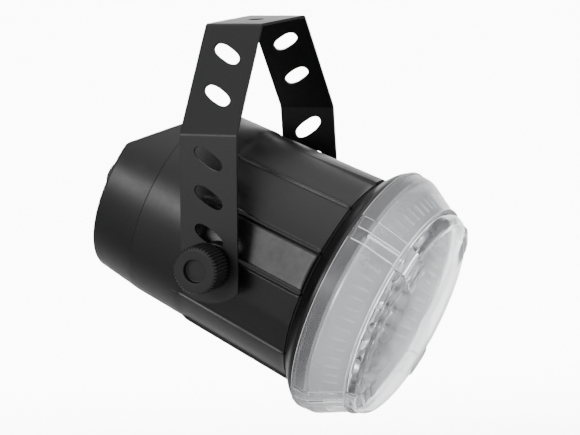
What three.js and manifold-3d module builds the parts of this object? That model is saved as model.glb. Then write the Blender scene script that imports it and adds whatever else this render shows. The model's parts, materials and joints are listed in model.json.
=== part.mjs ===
// Strobe light with a slotted hanging bracket, in millimetres.
// +X is the direction of the beam, +Z is up, and the near arm is on the -Y side.
// The origin is the centre of the hanging hole, on the top face of the bracket.
import * as THREE from "three";
import { mergeVertices } from "three/addons/utils/BufferGeometryUtils.js";
import Module from "manifold-3d";

const wasm = await Module();
wasm.setup();

// Clearances and common shares
const HALF = 0.5;
const RUNNING_GAP = 0.3;
const SEAT_GAP = 0.2;
const CUT_MARGIN = 1;
const MERGE_TOLERANCE = 1e-4;

// Bracket strip, measured on its outer face
const STRIP_WIDTH = 34;
const STRIP_THICKNESS = 1.5;
const BEND_RADIUS = 2;
const TOP_LENGTH = 56;
const SHOULDER_DROP = 56;
const ARM_SPLAY = THREE.MathUtils.degToRad(3.9);
const PIVOT_DROP = 125.7;
const ARM_CLEARANCE = 1.15;
const ARM_END_DROP = 146.2;
const ARM_END_RADIUS = 27;
const HANGING_HOLE_RADIUS = 4.5;
const SLOT_LENGTH = 19;
const SLOT_WIDTH = 7.6;
const SLOT_ANGLE = THREE.MathUtils.degToRad(33.5);
const SLOT_SQUARENESS = 2.5;
const UPPER_SLOTS = 2;
const UPPER_SLOT_START = 18.1;
const UPPER_SLOT_PITCH = 24.9;
const LOWER_SLOTS = 3;
const LOWER_SLOT_START = 12.8;
const LOWER_SLOT_PITCH = 20.7;

// Head, measured along its axis from the pivot
const REST_TILT = THREE.MathUtils.degToRad(23.2);
const WALL = 2.5;
const PIVOT_TO_SEAM = 53.2;
const SEAM_RADIUS = 57.2;
const PIVOT_TO_PANEL_END = 51.5;
const HOUSING_TAPER = 4.6;
const PANEL_STEP = 0.9;
const FLARE_LENGTH = 10.3;
const FLARE_RISE = 9.2;
const FLANGE_LENGTH = 1.2;
const FLANGE_LEDGE = 0.8;
const SPIGOT_LENGTH = 8.5;
const REAR_CAP_LENGTH = 26.8;
const REAR_TAPER = 4.2;
const REAR_CUT_DROP = 25.9;
const REAR_EDGE_BEVEL = 1.2;
const SEAM_GROOVE = 0.5;
const SHELL_SEGMENTS = 40;

// Ribs along the front housing, as angles from its top
const RIB_ANGLES = [0, 32, 62, 84, 121.5, 151].map(THREE.MathUtils.degToRad);
const RIB_WIDTH = 2.2;
const RIB_RISE = 1;
const RIB_SINK = 1;

// Lens cap
const SKIRT_WALL = 1.5;
const LENS_RIM_RISE = 0.5;
const LENS_RIM_LENGTH = 2;
const LENS_WALL = 2;
const CONE_LENGTH = 18.1;
const CONE_TAPER = 10.1;
const BEAD_RISE = 0.9;
const FACE_STEP = 1.3;
const FACE_DEPTH = 13.6;
// Each pair is a share of the face's height and a share of its radius.
const FACE_SHARES = [
  [0.3, 0.993],
  [0.475, 0.967],
  [0.61, 0.908],
  [0.745, 0.776],
  [0.88, 0.561],
  [0.966, 0.297],
];
const LUG_ANGLES = [45, 135, 225, 315].map(THREE.MathUtils.degToRad);
const LUG_WIDTH = 15;
const LUG_RISE = 0.8;
const LUG_STEP_LENGTH = 14;

// Reflector and LEDs
const REFLECTOR_WALL = 1.2;
const REFLECTOR_STANDOFF = 7;
const REFLECTOR_INSET = 20.2;
const REFLECTOR_FRONT_GAP = 1.2;
const REFLECTOR_CLEARANCE = 0.5;
const BOARD_SETBACK = 10.5;
const BOARD_THICKNESS = 1.6;
const BOARD_INSET = 18.2;
const LED_RADIUS = 4;
const LED_FLANGE_RADIUS = 4.6;
const LED_FLANGE_LENGTH = 1.2;
const LED_LENGTH = 11.5;
// Each pair is a distance back from the tip and a radius, as shares of the LED's radius.
const LED_DOME_SHARES = [
  [0.9, 1],
  [0.3, 0.72],
];
const LED_RING_COUNTS = [1, 7, 14];
const LED_PITCH_SHARE = 0.33;
const LED_SEGMENTS = 10;
const POST_WIDTH = 9;
const POST_LENGTH = 12;
const SCREW_RADIUS = 1.5;
const BOARD_SCREW_INSET = 5;
const SCREW_LENGTH = 8;
const SCREW_HEAD_RADIUS = 2.8;
const SCREW_HEAD_LENGTH = 2;
const SCREW_SLOT_SHARE = 0.35;
const THREE_AROUND = [90, 210, 330].map(THREE.MathUtils.degToRad);

// Pivot: boss, washer, stud, insert and clamp knob, with lengths along Y from the axis
const BOSS_RADIUS = 11;
const BOSS_RISE = 4.76;
const BOSS_DEPTH = 13;
const WASHER_RADIUS = 9;
const WASHER_THICKNESS = 1.6;
const STUD_RADIUS = 3;
const INSERT_RADIUS = 5;
const INSERT_LENGTH = 8;
const KNOB_CLEARANCE = 1.45;
const KNOB_COLLAR_RADIUS = 8;
const KNOB_COLLAR_LENGTH = 1.4;
const KNOB_RADIUS = 13;
const KNOB_LENGTH = 14.6;
const KNOB_KNURLS = 40;
const KNURL_DEPTH = 0.8;
const KNOB_BEVEL = 1.2;
const KNOB_RECESS_RADIUS = 6;
const KNOB_RECESS_DEPTH = 3;
const STUD_GRIP = 9;

// Rear panel: speed control and power inlet
const SPEED_Y = -20;
const SPEED_Z = 3;
const SPEED_KNOB_RADIUS = 8;
const SPEED_KNOB_LENGTH = 11;
const SPEED_KNOB_FLUTES = 18;
const SPEED_KNOB_FLUTE_DEPTH = 0.5;
const POINTER_WIDTH = 1.2;
const POT_RADIUS = 8.5;
const POT_LENGTH = 9;
const POT_BUSH_RADIUS = 3.5;
const POT_SHAFT_RADIUS = 2.5;
const POT_SHAFT_LENGTH = 8;
const POT_NUT_RADIUS = 5.5;
const POT_NUT_LENGTH = 2;
const INLET_Z = -24;
const INLET_WIDTH = 27;
const INLET_HEIGHT = 19;
const INLET_DEPTH = 17;
const INLET_WALL = 1.6;
const INLET_FLANGE_WIDTH = 48;
const INLET_FLANGE_HEIGHT = 23;
const INLET_FLANGE_THICKNESS = 2.4;
const INLET_SCREW_SPREAD = 40;
const PIN_WIDTH = 2;
const PIN_HEIGHT = 4;
const PIN_LENGTH = 10;
const PIN_SPREAD = 14;
const PIN_EARTH_DROP = 4;
const REAR_SCREW_INSET = 7;
const REAR_SCREW_LENGTH = 10;
const REAR_SCREW_SINK = 1;
const REAR_SCREW_ANGLES = [15, 165, 212, 328].map(THREE.MathUtils.degToRad);

// Electronics inside the head
const RAIL_DROP = 30;
const RAIL_HEIGHT = 4;
const RAIL_OVERLAP = 3;
const CIRCUIT_BACK_GAP = 1;
const CIRCUIT_FRONT_GAP = 14.8;
const CIRCUIT_SIDE_GAP = 2.74;
const TRANSFORMER_LENGTH = 34;
const TRANSFORMER_WIDTH = 38;
const TRANSFORMER_HEIGHT = 30;
const TRANSFORMER_COIL_SHARE = 0.62;
const TRANSFORMER_OFFSET = -18;
const TRANSFORMER_Y = 14;
const CAPACITOR_RADIUS = 8;
const CAPACITOR_LENGTH = 25;
const CAPACITOR_OFFSET = 17;
const CAPACITOR_Y = 20;
const HEAT_SINK_LENGTH = 24;
const HEAT_SINK_DEPTH = 14;
const HEAT_SINK_HEIGHT = 22;
const HEAT_SINK_BASE = 3;
const HEAT_SINK_FINS = 4;
const HEAT_SINK_FIN = 1.5;
const HEAT_SINK_OFFSET = 13;
const HEAT_SINK_Y = -22;
const LEAD_RADIUS = 1.6;

// Counts that set how finely curves are cut
const ROUND_SEGMENTS = 24;
const SMALL_SEGMENTS = 12;
const BEND_STEPS = 3;
const SLOT_STEPS = 20;
const LEAD_STEPS = 9;
const LEAD_SIDES = 6;
const NUT_SIDES = 6;

// Finishes
const SATIN_BLACK = { color: 0x1b1b1d, roughness: 0.45, metalness: 0 };
const MATTE_BLACK = { color: 0x141415, roughness: 0.7, metalness: 0 };
const COATED_STEEL = { color: 0x2a2a2c, roughness: 0.5, metalness: 0.3 };
const CLEAR_PLASTIC = { color: 0xe4e6ea, roughness: 0.12, metalness: 0 };
const SILVER = { color: 0xc8c9cc, roughness: 0.25, metalness: 0.8 };
const STEEL = { color: 0xa8a9ab, roughness: 0.35, metalness: 0.9 };
const BRASS = { color: 0xb8954a, roughness: 0.35, metalness: 0.9 };
const RUBBER = { color: 0x101011, roughness: 0.9, metalness: 0 };
const BOARD_GREEN = { color: 0x1f5a38, roughness: 0.6, metalness: 0 };
const COPPER_BROWN = { color: 0x7a4a28, roughness: 0.5, metalness: 0.3 };

// Places along the head's axis
const seamX = -PIVOT_TO_SEAM;
const rearX = seamX - REAR_CAP_LENGTH;
const panelEndX = PIVOT_TO_PANEL_END;
const flangeBackX = panelEndX + FLARE_LENGTH;
const lensRimX = flangeBackX + FLANGE_LENGTH;
const spigotEndX = lensRimX + SPIGOT_LENGTH;
const coneEndX = spigotEndX + CONE_LENGTH;
const lensTipX = coneEndX + FACE_DEPTH;
const boardX = spigotEndX - BOARD_SETBACK;
const reflectorBaseX = boardX + REFLECTOR_STANDOFF;
const reflectorFrontX = coneEndX - REFLECTOR_FRONT_GAP;

// Radii about the head's axis
const rearRadius = SEAM_RADIUS - REAR_TAPER;
const cutHeightAtRear = SEAM_RADIUS - REAR_CUT_DROP;
const panelEndRadius = SEAM_RADIUS + HOUSING_TAPER;
const flangeRadius = panelEndRadius + FLARE_RISE;
const spigotRadius = flangeRadius - FLANGE_LEDGE;
const skirtRadius = spigotRadius + RUNNING_GAP + SKIRT_WALL;
const lensRimRadius = skirtRadius + LENS_RIM_RISE;
const coneEndRadius = skirtRadius - CONE_TAPER;
const faceStepRadius = coneEndRadius - FACE_STEP;
const reflectorBaseRadius = spigotRadius - REFLECTOR_INSET;
const boardRadius = spigotRadius - BOARD_INSET;
const boardScrewCircle = boardRadius - BOARD_SCREW_INSET;
const rearScrewCircle = rearRadius - REAR_SCREW_INSET;
const housingSlope = HOUSING_TAPER / (panelEndX - seamX);
const housingRadiusAt = (x) => SEAM_RADIUS + (x - seamX) * housingSlope;

// Places along the pivot axis
const bossFaceY = housingRadiusAt(0) + BOSS_RISE;
const washerFaceY = bossFaceY + SEAT_GAP + WASHER_THICKNESS;
const armOuterY = washerFaceY + ARM_CLEARANCE + STRIP_THICKNESS;
const knobBaseY = armOuterY + KNOB_CLEARANCE;
const shoulderHalfSpread = armOuterY - (PIVOT_DROP - SHOULDER_DROP) * Math.tan(ARM_SPLAY);

// A closed solid from any geometry, with its shared corners joined.
function solidOf(geometry) {
  const bare = geometry.clone();
  bare.deleteAttribute("normal");
  bare.deleteAttribute("uv");
  const merged = mergeVertices(bare, MERGE_TOLERANCE);
  const index = Array.from(merged.index.array);
  const corners = [];
  for (let i = 0; i < index.length; i += 3) {
    const [a, b, c] = index.slice(i, i + 3);
    if (a !== b && b !== c && a !== c) corners.push(a, b, c);
  }
  const made = new wasm.Manifold(
    new wasm.Mesh({
      numProp: 3,
      vertProperties: merged.attributes.position.array,
      triVerts: new Uint32Array(corners),
    }),
  );
  return made;
}

// A profile of [x, radius] points turned about the X axis.
function turned(profile, segments = ROUND_SEGMENTS) {
  const area = profile.reduce((sum, [x, r], i) => {
    const [nextX, nextR] = profile[(i + 1) % profile.length];
    return sum + x * nextR - nextX * r;
  }, 0);
  const ordered = area > 0 ? [...profile].reverse() : [...profile];
  const onAxis = ordered.findIndex(([, r], i) => {
    const [, nextR] = ordered[(i + 1) % ordered.length];
    return r === 0 && nextR === 0;
  });
  const start = onAxis < 0 ? 0 : onAxis + 1;
  const turnedList = ordered.map((_, i) => ordered[(start + i) % ordered.length]);
  if (onAxis < 0) turnedList.push(turnedList[0]);
  const points = turnedList.map(([x, r]) => new THREE.Vector2(r, x));
  const lathe = new THREE.LatheGeometry(points, segments);
  return solidOf(lathe.rotateZ(-Math.PI * HALF));
}

// A cylinder along the X axis from one end to the other.
function rod(fromX, toX, radius, segments = SMALL_SEGMENTS) {
  return turned(
    [
      [fromX, 0],
      [fromX, radius],
      [toX, radius],
      [toX, 0],
    ],
    segments,
  );
}

// A box given by its centre and its three sizes.
function block(center, size) {
  return solidOf(new THREE.BoxGeometry(...size).translate(...center));
}

// A flat outline of [x, y] points pushed through a depth, its depth axis along Z.
function prism(outline, depth) {
  const shape = new THREE.Shape(outline.map(([x, y]) => new THREE.Vector2(x, y)));
  return new THREE.ExtrudeGeometry(shape, { depth, bevelEnabled: false });
}

// Moves a solid by a matrix.
function placed(solid, matrix) {
  return solid.transform(matrix.toArray());
}

// Turns a solid made along X so that it points along +Y or -Y, on the pivot axis.
function alongY(solid, side) {
  return placed(solid, new THREE.Matrix4().makeRotationZ(side * Math.PI * HALF));
}

// Turns a solid about the X axis.
function aroundX(solid, angle) {
  return placed(solid, new THREE.Matrix4().makeRotationX(angle));
}

// Moves a solid from the X axis out to a circle about it, at an angle from its far side.
function onCircle(solid, radius, angle) {
  return aroundX(shifted(solid, 0, 0, radius), angle - Math.PI * HALF);
}

// A square screw post along X, reaching from inside a screw circle out to a wall.
function post(fromX, toX, circle, wallRadius, angle) {
  const innerRadius = circle - POST_WIDTH * HALF;
  const middle = [(fromX + toX) * HALF, 0, (innerRadius + wallRadius) * HALF];
  const made = block(middle, [toX - fromX, POST_WIDTH, wallRadius - innerRadius]);
  return aroundX(made, angle - Math.PI * HALF);
}

// Shifts a solid.
function shifted(solid, x, y, z) {
  return placed(solid, new THREE.Matrix4().makeTranslation(x, y, z));
}

// A lead that runs through a list of points.
function lead(points) {
  const path = new THREE.CatmullRomCurve3(points.map((p) => new THREE.Vector3(...p)));
  const circle = new THREE.Shape();
  const around = Array.from({ length: LEAD_SIDES }, (_, i) => {
    const angle = (i / LEAD_SIDES) * Math.PI * 2;
    return new THREE.Vector2(LEAD_RADIUS * Math.cos(angle), LEAD_RADIUS * Math.sin(angle));
  });
  circle.setFromPoints(around);
  const settings = { steps: LEAD_STEPS, extrudePath: path, bevelEnabled: false };
  return solidOf(new THREE.ExtrudeGeometry(circle, settings));
}

// Wraps a solid as a named mesh with its own finish.
function piece(name, solid, finish) {
  const { numProp, numVert, vertProperties, triVerts } = solid.getMesh();
  const positions = new Float32Array(numVert * 3);
  for (let i = 0; i < numVert; i++) {
    positions.set(vertProperties.subarray(i * numProp, i * numProp + 3), i * 3);
  }
  const geometry = new THREE.BufferGeometry();
  geometry.setAttribute("position", new THREE.BufferAttribute(positions, 3));
  geometry.setIndex(new THREE.BufferAttribute(triVerts, 1));
  const mesh = new THREE.Mesh(geometry, new THREE.MeshStandardMaterial(finish));
  mesh.name = name;
  return mesh;
}

// Bracket
const armDrop = ARM_END_DROP - SHOULDER_DROP;
const armEndHalfSpread = shoulderHalfSpread + armDrop * Math.tan(ARM_SPLAY);
const bracketCorners = [
  [-armEndHalfSpread, -ARM_END_DROP],
  [-shoulderHalfSpread, -SHOULDER_DROP],
  [-TOP_LENGTH * HALF, 0],
  [TOP_LENGTH * HALF, 0],
  [shoulderHalfSpread, -SHOULDER_DROP],
  [armEndHalfSpread, -ARM_END_DROP],
].map(([y, z]) => new THREE.Vector2(y, z));

// The side view of a strip bent along a line of corners, thickness on the inner side.
function bentOutline(corners, thickness, innerRadius) {
  const outerRadius = innerRadius + thickness;
  const outer = [];
  const inner = [];
  const inward = (d) => new THREE.Vector2(d.y, -d.x);
  const add = (point, normal, radius) => {
    outer.push(point.clone().addScaledVector(normal, -radius.outer));
    inner.push(point.clone().addScaledVector(normal, -radius.inner));
  };
  corners.forEach((corner, i) => {
    const before = corners[i - 1];
    const after = corners[i + 1];
    const come = before && corner.clone().sub(before).normalize();
    const go = after && after.clone().sub(corner).normalize();
    if (!before || !after) {
      const normal = inward(come || go);
      add(corner, normal, { outer: 0, inner: -thickness });
      return;
    }
    const turn = Math.acos(come.dot(go));
    const reach = outerRadius * Math.tan(turn * HALF);
    const normal = inward(come);
    const center = corner.clone().addScaledVector(come, -reach);
    center.addScaledVector(normal, outerRadius);
    for (let step = 0; step <= BEND_STEPS; step++) {
      const angle = -turn * (step / BEND_STEPS);
      const turnedNormal = normal.clone().rotateAround(new THREE.Vector2(), angle);
      add(center, turnedNormal, { outer: outerRadius, inner: innerRadius });
    }
  });
  return [...outer, ...inner.reverse()].map((p) => [p.x, p.y]);
}

// An oblong slot cutter centred on the origin, long axis turned in its own plane.
function slotCutter(angle) {
  const depth = (STRIP_THICKNESS + CUT_MARGIN) * 2;
  const outline = Array.from({ length: SLOT_STEPS }, (_, i) => {
    const around = (i / SLOT_STEPS) * Math.PI * 2;
    const bulge = (v) => Math.sign(v) * Math.abs(v) ** (2 / SLOT_SQUARENESS);
    const along = bulge(Math.cos(around)) * SLOT_LENGTH * HALF;
    const across = bulge(Math.sin(around)) * SLOT_WIDTH * HALF;
    return [along, across];
  });
  const cutter = prism(outline, depth).translate(0, 0, -depth * HALF);
  return solidOf(cutter.rotateZ(angle));
}

// The frame of a flat face of the bracket: its x runs along +X, its y down the strip.
function faceFrame(side, from, to, distance) {
  const down = to.clone().sub(from).normalize();
  const at = from.clone().addScaledVector(down, distance);
  const xAxis = new THREE.Vector3(1, 0, 0);
  const yAxis = new THREE.Vector3(0, side * down.x, down.y);
  const zAxis = new THREE.Vector3().crossVectors(xAxis, yAxis);
  const matrix = new THREE.Matrix4().makeBasis(xAxis, yAxis, zAxis);
  return matrix.setPosition(0, side * at.x, at.y);
}

function bracketSolid() {
  const outline = bentOutline(bracketCorners, STRIP_THICKNESS, BEND_RADIUS);
  const standing = new THREE.Matrix4().makeBasis(
    new THREE.Vector3(0, 1, 0),
    new THREE.Vector3(0, 0, 1),
    new THREE.Vector3(1, 0, 0),
  );
  const strip = prism(outline, STRIP_WIDTH).translate(0, 0, -STRIP_WIDTH * HALF);
  let solid = solidOf(strip.applyMatrix4(standing));
  const [, , , topEdge, shoulder, armEnd] = bracketCorners;
  for (const side of [-1, 1]) {
    const cutter = slotCutter(-side * SLOT_ANGLE);
    for (let i = 0; i < UPPER_SLOTS; i++) {
      const down = UPPER_SLOT_START + i * UPPER_SLOT_PITCH;
      solid = solid.subtract(placed(cutter, faceFrame(side, topEdge, shoulder, down)));
    }
    for (let i = 0; i < LOWER_SLOTS; i++) {
      const down = LOWER_SLOT_START + i * LOWER_SLOT_PITCH;
      solid = solid.subtract(placed(cutter, faceFrame(side, shoulder, armEnd, down)));
    }
  }
  // The rounded arm ends: what lies below the end arc comes off both arms.
  const reach = STRIP_WIDTH * HALF + CUT_MARGIN;
  const startAngle = Math.atan2(-Math.sqrt(ARM_END_RADIUS ** 2 - reach ** 2), reach);
  const waste = Array.from({ length: SLOT_STEPS + 1 }, (_, i) => {
    const angle = startAngle + (i / SLOT_STEPS) * (-Math.PI - 2 * startAngle);
    return [ARM_END_RADIUS * Math.cos(angle), ARM_END_RADIUS * Math.sin(angle)];
  });
  const [[rightX], [leftX]] = [waste[0], waste[waste.length - 1]];
  waste.push([leftX, -ARM_END_RADIUS * 2], [rightX, -ARM_END_RADIUS * 2]);
  const width = armEndHalfSpread * 2 + CUT_MARGIN * 2;
  const wasteSolid = solidOf(
    prism(waste, width).translate(0, 0, -width * HALF).rotateX(Math.PI * HALF),
  );
  const arcCenterZ = -ARM_END_DROP + ARM_END_RADIUS;
  solid = solid.subtract(shifted(wasteSolid, 0, 0, arcCenterZ));
  const pivotHole = alongY(rod(-width * HALF, width * HALF, STUD_RADIUS + RUNNING_GAP), 1);
  solid = solid.subtract(shifted(pivotHole, 0, 0, -PIVOT_DROP));
  const holeReach = STRIP_THICKNESS + CUT_MARGIN;
  const hole = rod(-holeReach, holeReach, HANGING_HOLE_RADIUS, ROUND_SEGMENTS);
  const upright = new THREE.Matrix4().makeRotationY(Math.PI * HALF);
  return solid.subtract(placed(hole, upright));
}

// Head shells
const rearSlope = REAR_TAPER / REAR_CAP_LENGTH;
const housingBackX = seamX + SEAT_GAP;
const flareShares = [
  [0.14, 0.12],
  [0.5, 0.6],
  [0.8, 0.92],
];
const flareStart = panelEndRadius - PANEL_STEP;
const flarePoints = flareShares.map(([along, up]) => [
  panelEndX + (flangeBackX - panelEndX) * along,
  flareStart + (flangeRadius - flareStart) * up,
]);
const housingOuter = [
  [housingBackX, SEAM_RADIUS - SEAM_GROOVE],
  [housingBackX + SEAM_GROOVE, SEAM_RADIUS],
  [panelEndX, panelEndRadius],
  [panelEndX + PANEL_STEP, flareStart],
  ...flarePoints,
  [flangeBackX, flangeRadius],
  [lensRimX - RUNNING_GAP, flangeRadius],
  [lensRimX - RUNNING_GAP, spigotRadius],
  [spigotEndX, spigotRadius],
];
const housingInner = [
  [spigotEndX, spigotRadius - WALL],
  [flangeBackX + WALL, spigotRadius - WALL],
  ...flarePoints.map(([x, r]) => [x + WALL * HALF, r - WALL]).reverse(),
  [panelEndX, panelEndRadius - PANEL_STEP - WALL],
  [housingBackX, SEAM_RADIUS - WALL],
];

// One long rib of the housing, lying along its cone.
function rib(angle) {
  const overlapX = housingBackX + SEAM_GROOVE;
  const endX = panelEndX + PANEL_STEP * HALF;
  const shape = [
    [overlapX, housingRadiusAt(overlapX) - RIB_SINK],
    [endX, housingRadiusAt(endX) - RIB_SINK],
    [endX, housingRadiusAt(endX) + RIB_RISE],
    [overlapX, housingRadiusAt(overlapX) + RIB_RISE * HALF],
  ];
  const flat = prism(shape, RIB_WIDTH).translate(0, 0, -RIB_WIDTH * HALF);
  return aroundX(solidOf(flat.rotateX(Math.PI * HALF)), angle);
}

// Where the control board lies inside the housing, on a rail at each side
const circuitBackX = housingBackX + POST_LENGTH + CIRCUIT_BACK_GAP;
const circuitFrontX = boardX - SEAT_GAP - POST_LENGTH - CIRCUIT_FRONT_GAP;
const circuitLength = circuitFrontX - circuitBackX;
const circuitMiddleX = (circuitBackX + circuitFrontX) * HALF;
const railReach = Math.sqrt((SEAM_RADIUS - WALL) ** 2 - RAIL_DROP ** 2);
const circuitHalfWidth = railReach - CIRCUIT_SIDE_GAP;
const railInnerY = circuitHalfWidth - RAIL_OVERLAP;
const railWidth = SEAM_RADIUS - railInnerY;

// The full outer body of the housing, for trimming what stands inside it.
function housingBody() {
  return turned(
    [[housingBackX, 0], ...housingOuter.slice(1, -1), [lensRimX, 0]],
    SHELL_SEGMENTS,
  );
}

function frontHousing() {
  let solid = turned([...housingOuter, ...housingInner], SHELL_SEGMENTS);
  for (const angle of RIB_ANGLES) {
    solid = solid.add(rib(angle));
    if (angle > 0) solid = solid.add(rib(-angle));
  }
  solid = solid.add(rib(Math.PI));
  const body = housingBody();
  let inside = null;
  const join = (added) => {
    inside = inside ? inside.add(added) : added;
  };
  for (const angle of THREE_AROUND) {
    const toX = boardX - SEAT_GAP;
    join(post(toX - POST_LENGTH, toX, boardScrewCircle, flangeRadius, angle));
  }
  for (const angle of REAR_SCREW_ANGLES) {
    const toX = housingBackX + POST_LENGTH;
    join(post(housingBackX, toX, rearScrewCircle, SEAM_RADIUS, angle));
  }
  for (const side of [-1, 1]) {
    const railMiddle = [
      circuitMiddleX,
      side * (railInnerY + railWidth * HALF),
      -RAIL_DROP - RAIL_HEIGHT * HALF,
    ];
    join(block(railMiddle, [circuitLength, railWidth, RAIL_HEIGHT]));
  }
  solid = solid.add(inside.intersect(body));
  const boardHole = rod(boardX - SCREW_LENGTH - CUT_MARGIN, boardX, SCREW_RADIUS + SEAT_GAP);
  for (const angle of THREE_AROUND) {
    solid = solid.subtract(onCircle(boardHole, boardScrewCircle, angle));
  }
  const rearHole = rod(seamX, seamX + REAR_SCREW_LENGTH, SCREW_RADIUS + SEAT_GAP);
  for (const angle of REAR_SCREW_ANGLES) {
    solid = solid.subtract(onCircle(rearHole, rearScrewCircle, angle));
  }
  for (const side of [-1, 1]) {
    const bossBack = bossFaceY - BOSS_DEPTH;
    const boss = alongY(rod(bossBack, bossFaceY, BOSS_RADIUS, ROUND_SEGMENTS), side);
    const boreStart = bossBack - CUT_MARGIN;
    const boreEnd = bossFaceY + CUT_MARGIN;
    const bore = alongY(rod(boreStart, boreEnd, STUD_RADIUS + RUNNING_GAP), side);
    const pocketEnd = bossBack + INSERT_LENGTH;
    const pocketRod = rod(boreStart, pocketEnd, INSERT_RADIUS + SEAT_GAP, ROUND_SEGMENTS);
    const pocket = alongY(pocketRod, side);
    solid = solid.add(boss).subtract(bore).subtract(pocket);
  }
  return solid;
}

// The rear cap's body, whole or inset by the wall, with its slanted flat on top.
function rearBody(inset) {
  const backX = rearX + inset;
  const bevel = inset ? 0 : REAR_EDGE_BEVEL;
  const grooveX = seamX - (inset ? 0 : SEAM_GROOVE);
  const endX = seamX + (inset ? CUT_MARGIN : 0);
  const solid = turned(
    [
      [backX, 0],
      [backX, rearRadius - inset - bevel],
      [backX + bevel, rearRadius - inset + rearSlope * (inset + bevel)],
      [grooveX, SEAM_RADIUS - inset],
      [endX, SEAM_RADIUS - inset - (inset ? 0 : SEAM_GROOVE)],
      [endX, 0],
    ],
    SHELL_SEGMENTS,
  );
  const slant = Math.atan2(SEAM_RADIUS - cutHeightAtRear, seamX - rearX);
  const size = SEAM_RADIUS * 4;
  const cutter = block([0, 0, size * HALF], [size, size, size]);
  const matrix = new THREE.Matrix4()
    .makeTranslation(rearX, 0, cutHeightAtRear - inset / Math.cos(slant))
    .multiply(new THREE.Matrix4().makeRotationY(-slant));
  return solid.subtract(placed(cutter, matrix));
}

// The inner face of the rear panel, where its parts are seated.
const panelInsideX = rearX + WALL;

function rearCap() {
  const body = rearBody(0);
  let solid = body.subtract(rearBody(WALL));
  const throughStart = rearX - CUT_MARGIN;
  const shaft = rod(throughStart, seamX + CUT_MARGIN, SCREW_RADIUS + RUNNING_GAP);
  const seatX = rearX + REAR_SCREW_SINK + SCREW_HEAD_LENGTH;
  const headRoom = rod(throughStart, seatX, SCREW_HEAD_RADIUS + RUNNING_GAP);
  for (const angle of REAR_SCREW_ANGLES) {
    const column = post(panelInsideX - WALL * HALF, seamX, rearScrewCircle, SEAM_RADIUS, angle);
    const hole = onCircle(shaft.add(headRoom), rearScrewCircle, angle);
    solid = solid.add(column.intersect(body)).subtract(hole);
  }
  const bushHole = rod(throughStart, panelInsideX + CUT_MARGIN, POT_BUSH_RADIUS + SEAT_GAP);
  solid = solid.subtract(shifted(bushHole, 0, SPEED_Y, SPEED_Z));
  const opening = block(
    [(rearX + panelInsideX) * HALF, 0, INLET_Z],
    [WALL + CUT_MARGIN, INLET_WIDTH + SEAT_GAP * 2, INLET_HEIGHT + SEAT_GAP * 2],
  );
  solid = solid.subtract(opening);
  const screwHole = rod(throughStart, panelInsideX + CUT_MARGIN, SCREW_RADIUS + RUNNING_GAP);
  for (const side of [-1, 1]) {
    solid = solid.subtract(shifted(screwHole, 0, side * INLET_SCREW_SPREAD * HALF, INLET_Z));
  }
  return solid;
}

// Lens cap
const coneSlope = CONE_TAPER / CONE_LENGTH;
const skirtInner = spigotRadius + RUNNING_GAP;
const ledgeX = spigotEndX + REFLECTOR_WALL + SEAT_GAP * 2;
const bevelX = coneEndX + BEAD_RISE * 2;
const facePoints = FACE_SHARES.map(([along, out]) => [
  bevelX + (lensTipX - bevelX) * along,
  faceStepRadius * out,
]);
const [, faceTurn, faceShoulder, faceSlope] = facePoints;
const lensInnerAt = (x) => skirtRadius - (x - spigotEndX) * coneSlope - LENS_WALL * 2;
const lensOuter = [
  [lensRimX, lensRimRadius - LENS_WALL * HALF],
  [lensRimX, lensRimRadius],
  [lensRimX + LENS_RIM_LENGTH, lensRimRadius],
  [lensRimX + LENS_RIM_LENGTH, skirtRadius],
  [spigotEndX, skirtRadius],
  [coneEndX, coneEndRadius],
  [coneEndX + BEAD_RISE * HALF, coneEndRadius + BEAD_RISE],
  [bevelX, coneEndRadius + BEAD_RISE * HALF],
  [bevelX, faceStepRadius],
  ...facePoints,
  [lensTipX, 0],
];
const lensInner = [
  [lensTipX - LENS_WALL, 0],
  ...[...facePoints].reverse().map(([x, r]) => [x - LENS_WALL, r - LENS_WALL * HALF]),
  [coneEndX, Math.min(lensInnerAt(coneEndX), faceStepRadius - LENS_WALL)],
  [ledgeX, lensInnerAt(ledgeX)],
  [ledgeX, skirtInner],
  [lensRimX, skirtInner],
];

// A lug land across the skirt and cone wall, with its raised step on the front face.
function lug(angle) {
  const outline = [
    [lensRimX, skirtRadius - LENS_WALL * HALF],
    [lensRimX, skirtRadius + LUG_RISE],
    [spigotEndX, skirtRadius + LUG_RISE],
    [coneEndX, coneEndRadius + LUG_RISE],
    [faceTurn[0], faceTurn[1] + LUG_RISE],
    [faceShoulder[0] + LUG_RISE, faceShoulder[1]],
    [faceSlope[0] + LUG_RISE, coneEndRadius - LUG_STEP_LENGTH],
    [faceSlope[0] - LENS_WALL * HALF, coneEndRadius - LUG_STEP_LENGTH],
    [faceTurn[0] - LENS_WALL, faceStepRadius - LENS_WALL],
    [coneEndX, coneEndRadius - LENS_WALL * HALF],
    [spigotEndX, skirtRadius - LENS_WALL * HALF],
  ];
  const flat = prism(outline, LUG_WIDTH).translate(0, 0, -LUG_WIDTH * HALF);
  return aroundX(solidOf(flat.rotateX(Math.PI * HALF)), angle);
}

function lensCap() {
  let solid = turned([...lensOuter, ...lensInner], SHELL_SEGMENTS);
  for (const angle of LUG_ANGLES) solid = solid.add(lug(angle));
  const mouthX = lensRimX - CUT_MARGIN;
  const recess = turned([...lensInner, [mouthX, skirtInner], [mouthX, 0]], SHELL_SEGMENTS);
  return solid.subtract(recess);
}

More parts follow.
